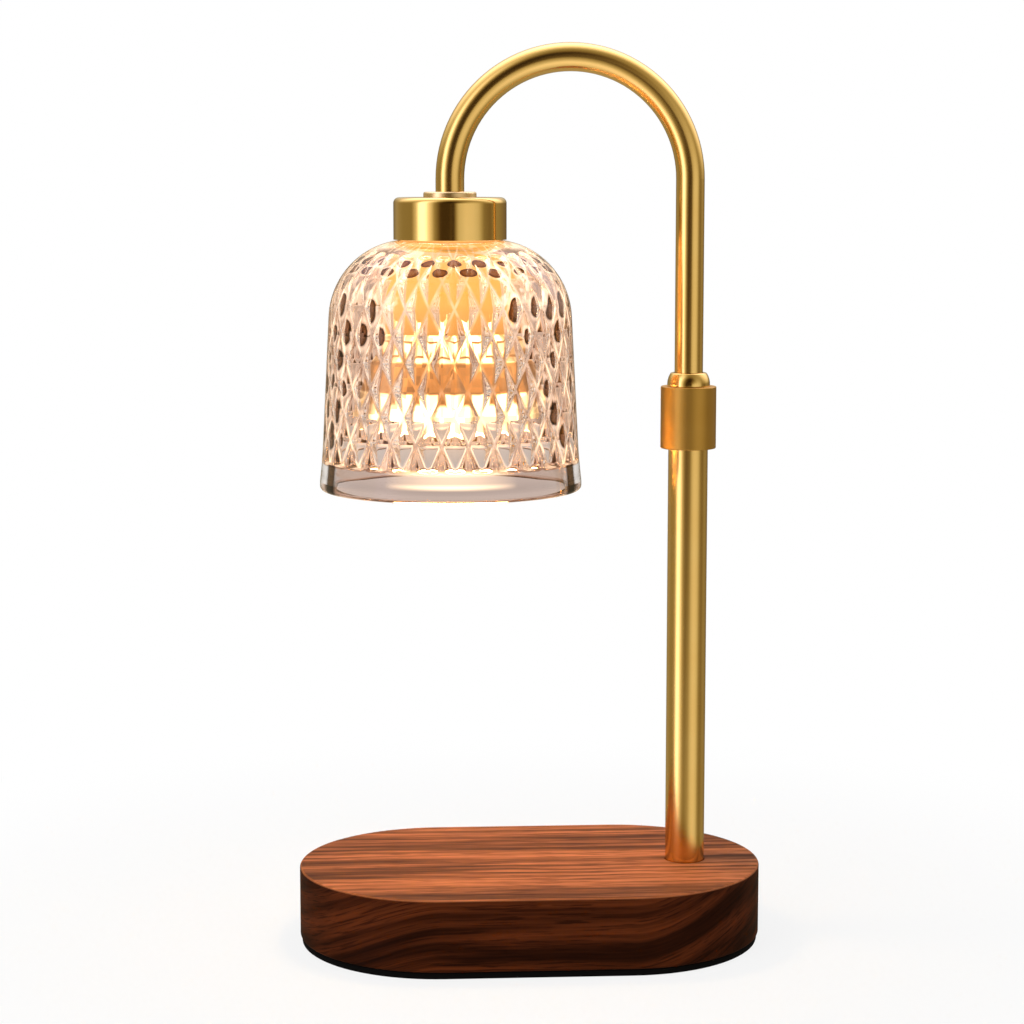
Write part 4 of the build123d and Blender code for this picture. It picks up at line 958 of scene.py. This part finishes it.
# %% Group for staggered cells
cells, into, out = group(
    "staggered_cells",
    [("Row", FLOAT, 0.0), ("Columns", FLOAT, 56.0), ("Axis x", FLOAT, 0.0)],
    [
        ("Ridge", FLOAT), ("Up", FLOAT), ("Along", FLOAT), ("Centre row", FLOAT),
        ("Chance", FLOAT), ("Second chance", FLOAT),
    ],
)  # fmt: skip
spot = own_place(cells)
x, y, z = split(cells, spot)
turn = maths(cells, "ARCTAN2", y, maths(cells, "SUBTRACT", x, into.outputs["Axis x"]))
columns = into.outputs["Columns"]
column = product(cells, turn, maths(cells, "DIVIDE", columns, 2 * pi))
row = into.outputs["Row"]
rising = product(cells, total(cells, row, column), 0.5)
falling = product(cells, maths(cells, "SUBTRACT", row, column), 0.5)
rising_cell, falling_cell = maths(cells, "FLOOR", rising), maths(cells, "FLOOR", falling)
rising = maths(cells, "SUBTRACT", maths(cells, "SUBTRACT", rising, rising_cell), 0.5)
falling = maths(cells, "SUBTRACT", maths(cells, "SUBTRACT", falling, falling_cell), 0.5)
reach = [maths(cells, "ABSOLUTE", way) for way in (rising, falling)]
furthest = maths(cells, "MAXIMUM", *reach)
centre_row = total(cells, rising_cell, falling_cell, 1.0)
centre_column = maths(cells, "SUBTRACT", rising_cell, falling_cell)
centre_column = maths(cells, "FLOORED_MODULO", centre_column, columns)
own = join(cells, centre_row, centre_column)
chances = put(cells, "TexWhiteNoise", {"Vector": own}).outputs
found = {
    "Ridge": product(cells, furthest, 2.0),
    "Up": total(cells, rising, falling),
    "Along": maths(cells, "SUBTRACT", rising, falling),
    "Centre row": centre_row,
    "Chance": chances["Value"],
    "Second chance": split(cells, chances["Color"])[1],
}
give(cells, out, found)
print("cells group:", list(found))


# %% Shade glass: where a point lies
ROSE, BAND_NEAR_SHADE, BAND_FAR = rgb(0.86, 0.70, 0.60), rgb(0.36, 0.23, 0.18), rgb(0.93, 0.87, 0.83)
GLOSS_TINT = rgb(0.35, 0.28, 0.22)

pressed = glass("shade_glass", ROSE)
tree, shader = pressed.node_tree, shader_of(pressed)
shader.inputs["Specular Tint"].default_value = GLOSS_TINT
spot = own_place(tree)
level = split(tree, spot)[2]
bell_axis = join(tree, SHADE_X, 0.0, maths(tree, "MINIMUM", level, RIM + dome_z))
outwards = put(
    tree,
    "VectorTransform",
    {0: vector_maths(tree, "SUBTRACT", spot, bell_axis)[0]},
    vector_type="NORMAL",
    convert_from="OBJECT",
    convert_to="WORLD",
).outputs[0]
smooth = vector_maths(tree, "NORMALIZE", outwards)[0]
turned_away = put(tree, "LayerWeight", {"Blend": 0.5, "Normal": smooth}).outputs["Facing"]
inside = put(tree, "NewGeometry").outputs["Backfacing"]
share = share_between(tree, level, RIM, CROWN)
on_band = maths(tree, "LESS_THAN", share, BAND / SHADE_HEIGHT)
outer, row = attribute(tree, "outer"), attribute(tree, "row")
uneven = noise(tree, spot, 170.0, 0.0)
print("shade glass, shoulder share:", round(dome_z / SHADE_HEIGHT, 2))

# %% Shade glass: painted dark ovals
# Painted reflections: dark brown ovals drawn in the cells at the sides and round the crown, where
# real glass would show the dark room, with pale painted halos round them.
UMBER, BROWN = rgb(0.010, 0.0024, 0.0005), rgb(0.080, 0.020, 0.004)
CROWN_COLUMNS = 44
CROWN_ROW, CROWN_STEP = 7.80, 0.42  # the top row of small ovals, and how far apart such rows are
HIGH_ROW = 4.5  # above this row the ovals come nearer to the middle
MIDDLE_ROW, ROWS_EACH_WAY = 3.5, 3.2
SIDE_OVAL, CROWN_OVAL = (0.46, 0.58), (0.42, 0.54)  # height and width, in cells
DARK = ((0.0, 0.94), (0.36, 1.0), (0.49, 1.0), (0.54, 0.0))
RIM_DARK = ((0.30, 0.0), (0.44, 1.0))
HALO = ((0.53, 0.0), (0.60, 1.0), (0.66, 0.8), (0.80, 0.0))
SIZES = ((0.0, 0.01), (0.22, 0.01), (0.25, 0.48), (0.70, 0.84), (1.0, 1.05))


def oval(cell, height, width, size):
    """Distance from the middle of a cell: 0.5 on the edge of an oval, uneven like pressed glass."""
    up = maths(tree, "DIVIDE", cell["Up"], height)
    along = maths(tree, "DIVIDE", cell["Along"], width)
    away = vector_maths(tree, "LENGTH", join(tree, up, along))["Value"]
    away = total(tree, away, fitted(tree, uneven, -0.5, 0.5))
    return maths(tree, "DIVIDE", product(tree, away, 0.5), size)


def within(value, middle_value, reach):
    """1 where a value is near a middle value, and 0 elsewhere."""
    off = maths(tree, "ABSOLUTE", maths(tree, "SUBTRACT", value, middle_value))
    return maths(tree, "LESS_THAN", off, reach)


body = use(tree, cells, Row=row, Columns=2.0 * COLUMNS, Axis_x=SHADE_X)
crown_row = maths(tree, "DIVIDE", maths(tree, "SUBTRACT", row, CROWN_ROW), CROWN_STEP)
crown = use(tree, cells, Row=crown_row, Columns=float(CROWN_COLUMNS), Axis_x=SHADE_X)

side_low = ramp(tree, turned_away, (0.12, 0.0), (0.18, 1.0))
side_high = ramp(tree, turned_away, (0.045, 0.0), (0.065, 1.0))
is_high = maths(tree, "GREATER_THAN", body["Centre row"], HIGH_ROW)
at_side = blend_values(tree, is_high, side_low, side_high)
in_rows = within(body["Centre row"], MIDDLE_ROW, ROWS_EACH_WAY)
side_shown = product(tree, inside, at_side, in_rows)
side_oval = oval(body, *SIDE_OVAL, ramp(tree, body["Chance"], *SIZES))
crown_oval = oval(crown, *CROWN_OVAL, 1.0)
crown_shown = product(tree, inside, within(crown["Centre row"], -0.5, 1.0))


def both_kinds(stops, crown_mask):
    """One mark of the ovals at the sides and of those round the crown, in one mask."""
    on_sides = product(tree, ramp(tree, side_oval, *stops), side_shown)
    on_crown = product(tree, ramp(tree, crown_oval, *stops), crown_mask)
    return maths(tree, "MAXIMUM", on_sides, on_crown)


painted_dark_ovals = both_kinds(DARK, crown_shown)
painted_oval_rims = both_kinds(RIM_DARK, crown_shown)
halos = both_kinds(HALO, product(tree, crown_shown, side_high))
print("ovals round the crown:", CROWN_COLUMNS // 2, "a row")

# %% Shade glass: tint, with painted shade: dark ovals, edges and near band
# Painted shade: a dark bar at each end of the band, and a dark line along the outline.
dark_band_ends = ramp(tree, turned_away, (0.53, 0.0), (0.57, 1.0), (0.68, 1.0), (0.73, 0.0))
line = ramp(tree, turned_away, (0.84, 0.0), (0.93, 0.55))
painted_dark_edges = product(tree, outer, maths(tree, "MAXIMUM", product(tree, dark_band_ends, on_band), line))
# Painted shade: the band's inner face on the near side is tinted far darker than on the far side.
near_band = product(tree, inside, rest_of(tree, outer))
tint = blend_colours(tree, on_band, ROSE, blend_colours(tree, near_band, BAND_FAR, BAND_NEAR_SHADE))
tint = blend_colours(tree, painted_dark_ovals, tint, blend_colours(tree, painted_oval_rims, BROWN, UMBER))
tint = blend_colours(tree, painted_dark_edges, tint, UMBER)
feed(tree, shader, Base_Color=tint)
print("shade tint:", [round(c, 2) for c in ROSE[:3]])

# %% Shade glass: light of the bulb
# Painted light on the glass, as emission: a golden glow where the bulb shines through, in streaks on
# the band and over the dome, and painted highlights: glints on the ridges, lit cells, sparkles and
# halos round the ovals.
CREAM, GOLD = rgb(1.0, 0.80, 0.60), rgb(1.0, 0.51, 0.11)
STREAK_GLOW, HALO_GLOW = 2.3, 0.40
CREAM_GAIN = 4.0  # how soon a pale mark turns from gold to cream
BAND_CREAM = 0.6
GLINT_ALL_ROUND, GLINT_AT_SIDES = 0.25, 0.75
ahead = product(tree, inside, ramp(tree, turned_away, (0.0, 1.0), (0.03, 0.55), (0.08, 0.0)))
ahead_on_dome = product(tree, inside, ramp(tree, turned_away, (0.09, 1.0), (0.15, 0.0)))
GLOW_STREAKS = (
    (0.0, 0.0), (0.045, 0.0), (0.060, 1.0), (0.072, 0.3), (0.098, 0.3), (0.116, 1.0), (0.125, 0.0),
)  # fmt: skip
streaks = ramp(tree, share, *GLOW_STREAKS)
dome_glow = ramp(tree, share, (0.62, 0.0), (0.76, 0.42), (0.90, 0.5), (0.97, 0.10), (1.0, 0.04))
low_glow = ramp(tree, share, (0.14, 0.0), (0.20, 0.16), (0.31, 0.12), (0.37, 0.0))
crown_glow = product(tree, outer, ramp(tree, share, (0.925, 0.0), (0.965, 0.10)))
golden_glow = total(
    tree,
    product(tree, total(tree, product(tree, streaks, STREAK_GLOW), low_glow), ahead),
    product(tree, dome_glow, ahead_on_dome),
    crown_glow,
)
golden_glow = product(tree, golden_glow, rest_of(tree, painted_dark_ovals))
in_pattern = maths(tree, "GREATER_THAN", row, 0.0)
ridge = product(tree, ramp(tree, body["Ridge"], (0.82, 0.0), (0.95, 1.0)), in_pattern)
on_side = product(tree, inside, side_low)
ridge_glint = product(
    tree,
    ridge,
    ramp(tree, uneven, (0.42, 0.0), (0.62, 1.1)),
    total(tree, product(tree, on_side, GLINT_AT_SIDES), GLINT_ALL_ROUND),
)
lit_cell = product(
    tree,
    ramp(tree, body["Second chance"], (0.62, 0.0), (0.95, 0.30)),
    ramp(tree, body["Ridge"], (0.35, 1.0), (0.75, 0.0)),
    side_shown,
    rest_of(tree, painted_dark_ovals),
)
broad = noise(tree, spot, 260.0, 1.0)
sparkle = product(
    tree,
    ramp(tree, broad, (0.55, 0.0), (0.63, 0.42)),
    ramp(tree, share, (0.66, 0.0), (0.78, 1.0), (0.93, 1.0), (0.97, 0.0)),
    product(tree, inside, side_high),
    rest_of(tree, painted_dark_ovals),
)
white = total(tree, product(tree, halos, HALO_GLOW), lit_cell, sparkle)
pale = maths(tree, "MAXIMUM", ridge, product(tree, on_band, BAND_CREAM))
pale = maths(tree, "MINIMUM", total(tree, pale, product(tree, white, CREAM_GAIN)), 1.0)
feed(tree, shader, Emission_Color=blend_colours(tree, pale, GOLD, CREAM))
feed(tree, shader, Emission_Strength=total(tree, golden_glow, ridge_glint, white))
wear(pressed, shade)
print("nodes of the shade glass:", len(tree.nodes))

# %% [markdown]
# ## The lit bulb
#
# The bulb is a reflector behind a front glass, with a glowing capsule in its middle. Through the
# pressed wall it shows as a stack of bright and amber zones, so its glow is set by height, and
# small facets of the reflector make it uneven. The ceramic and the rings round it catch its light.
# They glow faintly themselves, which costs no noise.

# %% The lit reflector
MIRROR = rgb(0.9, 0.75, 0.5)
mirror, tree, shader = finish("bulb_mirror", Base_Color=MIRROR, Metallic=0.6, Roughness=0.25)
x, y, level = split(tree, own_place(tree))
share = share_between(tree, level, BULB_FRONT, BULB_NECK)
HOT, AMBER = rgb(1.0, 0.80, 0.45), rgb(1.0, 0.42, 0.10)
FACETS_ROUND, FACET_ROWS = 24, 9.0
REFLECTOR_GLOW = 5.0
# Share of the height from the front to the neck, the colour there and its power.
ZONES = (
    (0.0, HOT, 1.0), (0.26, HOT, 1.0), (0.30, AMBER, 0.12), (0.62, AMBER, 0.16),
    (0.68, HOT, 1.0), (0.755, HOT, 1.0), (0.765, AMBER, 0.08), (0.785, AMBER, 0.08),
    (0.795, HOT, 1.0), (1.0, HOT, 1.0),
)  # fmt: skip
heat = ramp(tree, share, *[(place, colour) for place, colour, _ in ZONES])
power = ramp(tree, share, *[(place, strength) for place, _, strength in ZONES])
turn = maths(tree, "ARCTAN2", y, maths(tree, "SUBTRACT", x, SHADE_X))
facet_column = maths(tree, "FLOOR", product(tree, turn, FACETS_ROUND / (2 * pi)))
facet_row = maths(tree, "FLOOR", product(tree, share, FACET_ROWS))
facet = join(tree, facet_column, facet_row)
spark = put(tree, "TexWhiteNoise", {"Vector": facet}).outputs["Value"]
away = put(tree, "LayerWeight", {"Blend": 0.5}).outputs["Facing"]
power = product(tree, power, ramp(tree, away, (0.12, 1.0), (0.45, 0.14)))
strength = product(tree, power, REFLECTOR_GLOW, fitted(tree, spark, 0.3, 1.5))
feed(tree, shader, Emission_Color=heat, Emission_Strength=strength)
wear(mirror, "bulb_reflector")
print("facets of the reflector:", FACETS_ROUND * int(FACET_ROWS))

# %% Bulb glass, filament and the lit rings
LENS_GLOW, WIRE_GLOW, RING_GLOW = 12.0, 25.0, 0.6
bulb_glass = glass("bulb_glass", rgb(0.98, 0.96, 0.92), 0.05, rgb(1.0, 0.70, 0.36), LENS_GLOW)
wear(bulb_glass, "bulb_lens", "bulb_capsule")
WIRE = rgb(0.4, 0.38, 0.35)
tungsten, tree, shader = finish("tungsten", Base_Color=WIRE, Metallic=1.0, Roughness=0.4)
glowing(tungsten, rgb(1.0, 0.62, 0.25), WIRE_GLOW)
wear(tungsten, "bulb_filament")
LIT_CERAMIC = (rgb(0.50, 0.40, 0.28), rgb(0.58, 0.48, 0.34))
LIT_NYLON = (rgb(0.60, 0.50, 0.38), rgb(0.68, 0.58, 0.44))
lit_ceramic = skinned("lit_ceramic", *LIT_CERAMIC, (0.3, 0.5), 900.0)
lit_nylon = skinned("lit_nylon", *LIT_NYLON, (0.35, 0.5))
glowing(lit_ceramic, rgb(1.0, 0.50, 0.09), RING_GLOW)
glowing(lit_nylon, rgb(1.0, 0.46, 0.12), RING_GLOW)
wear(lit_ceramic, "bulb_base", "holder_body")
wear(lit_nylon, "shade_ring", "upper_gasket", "lower_gasket")
lit_finishes = (mirror, bulb_glass, tungsten, lit_ceramic, lit_nylon)
print("lit finishes:", [made.name for made in lit_finishes])
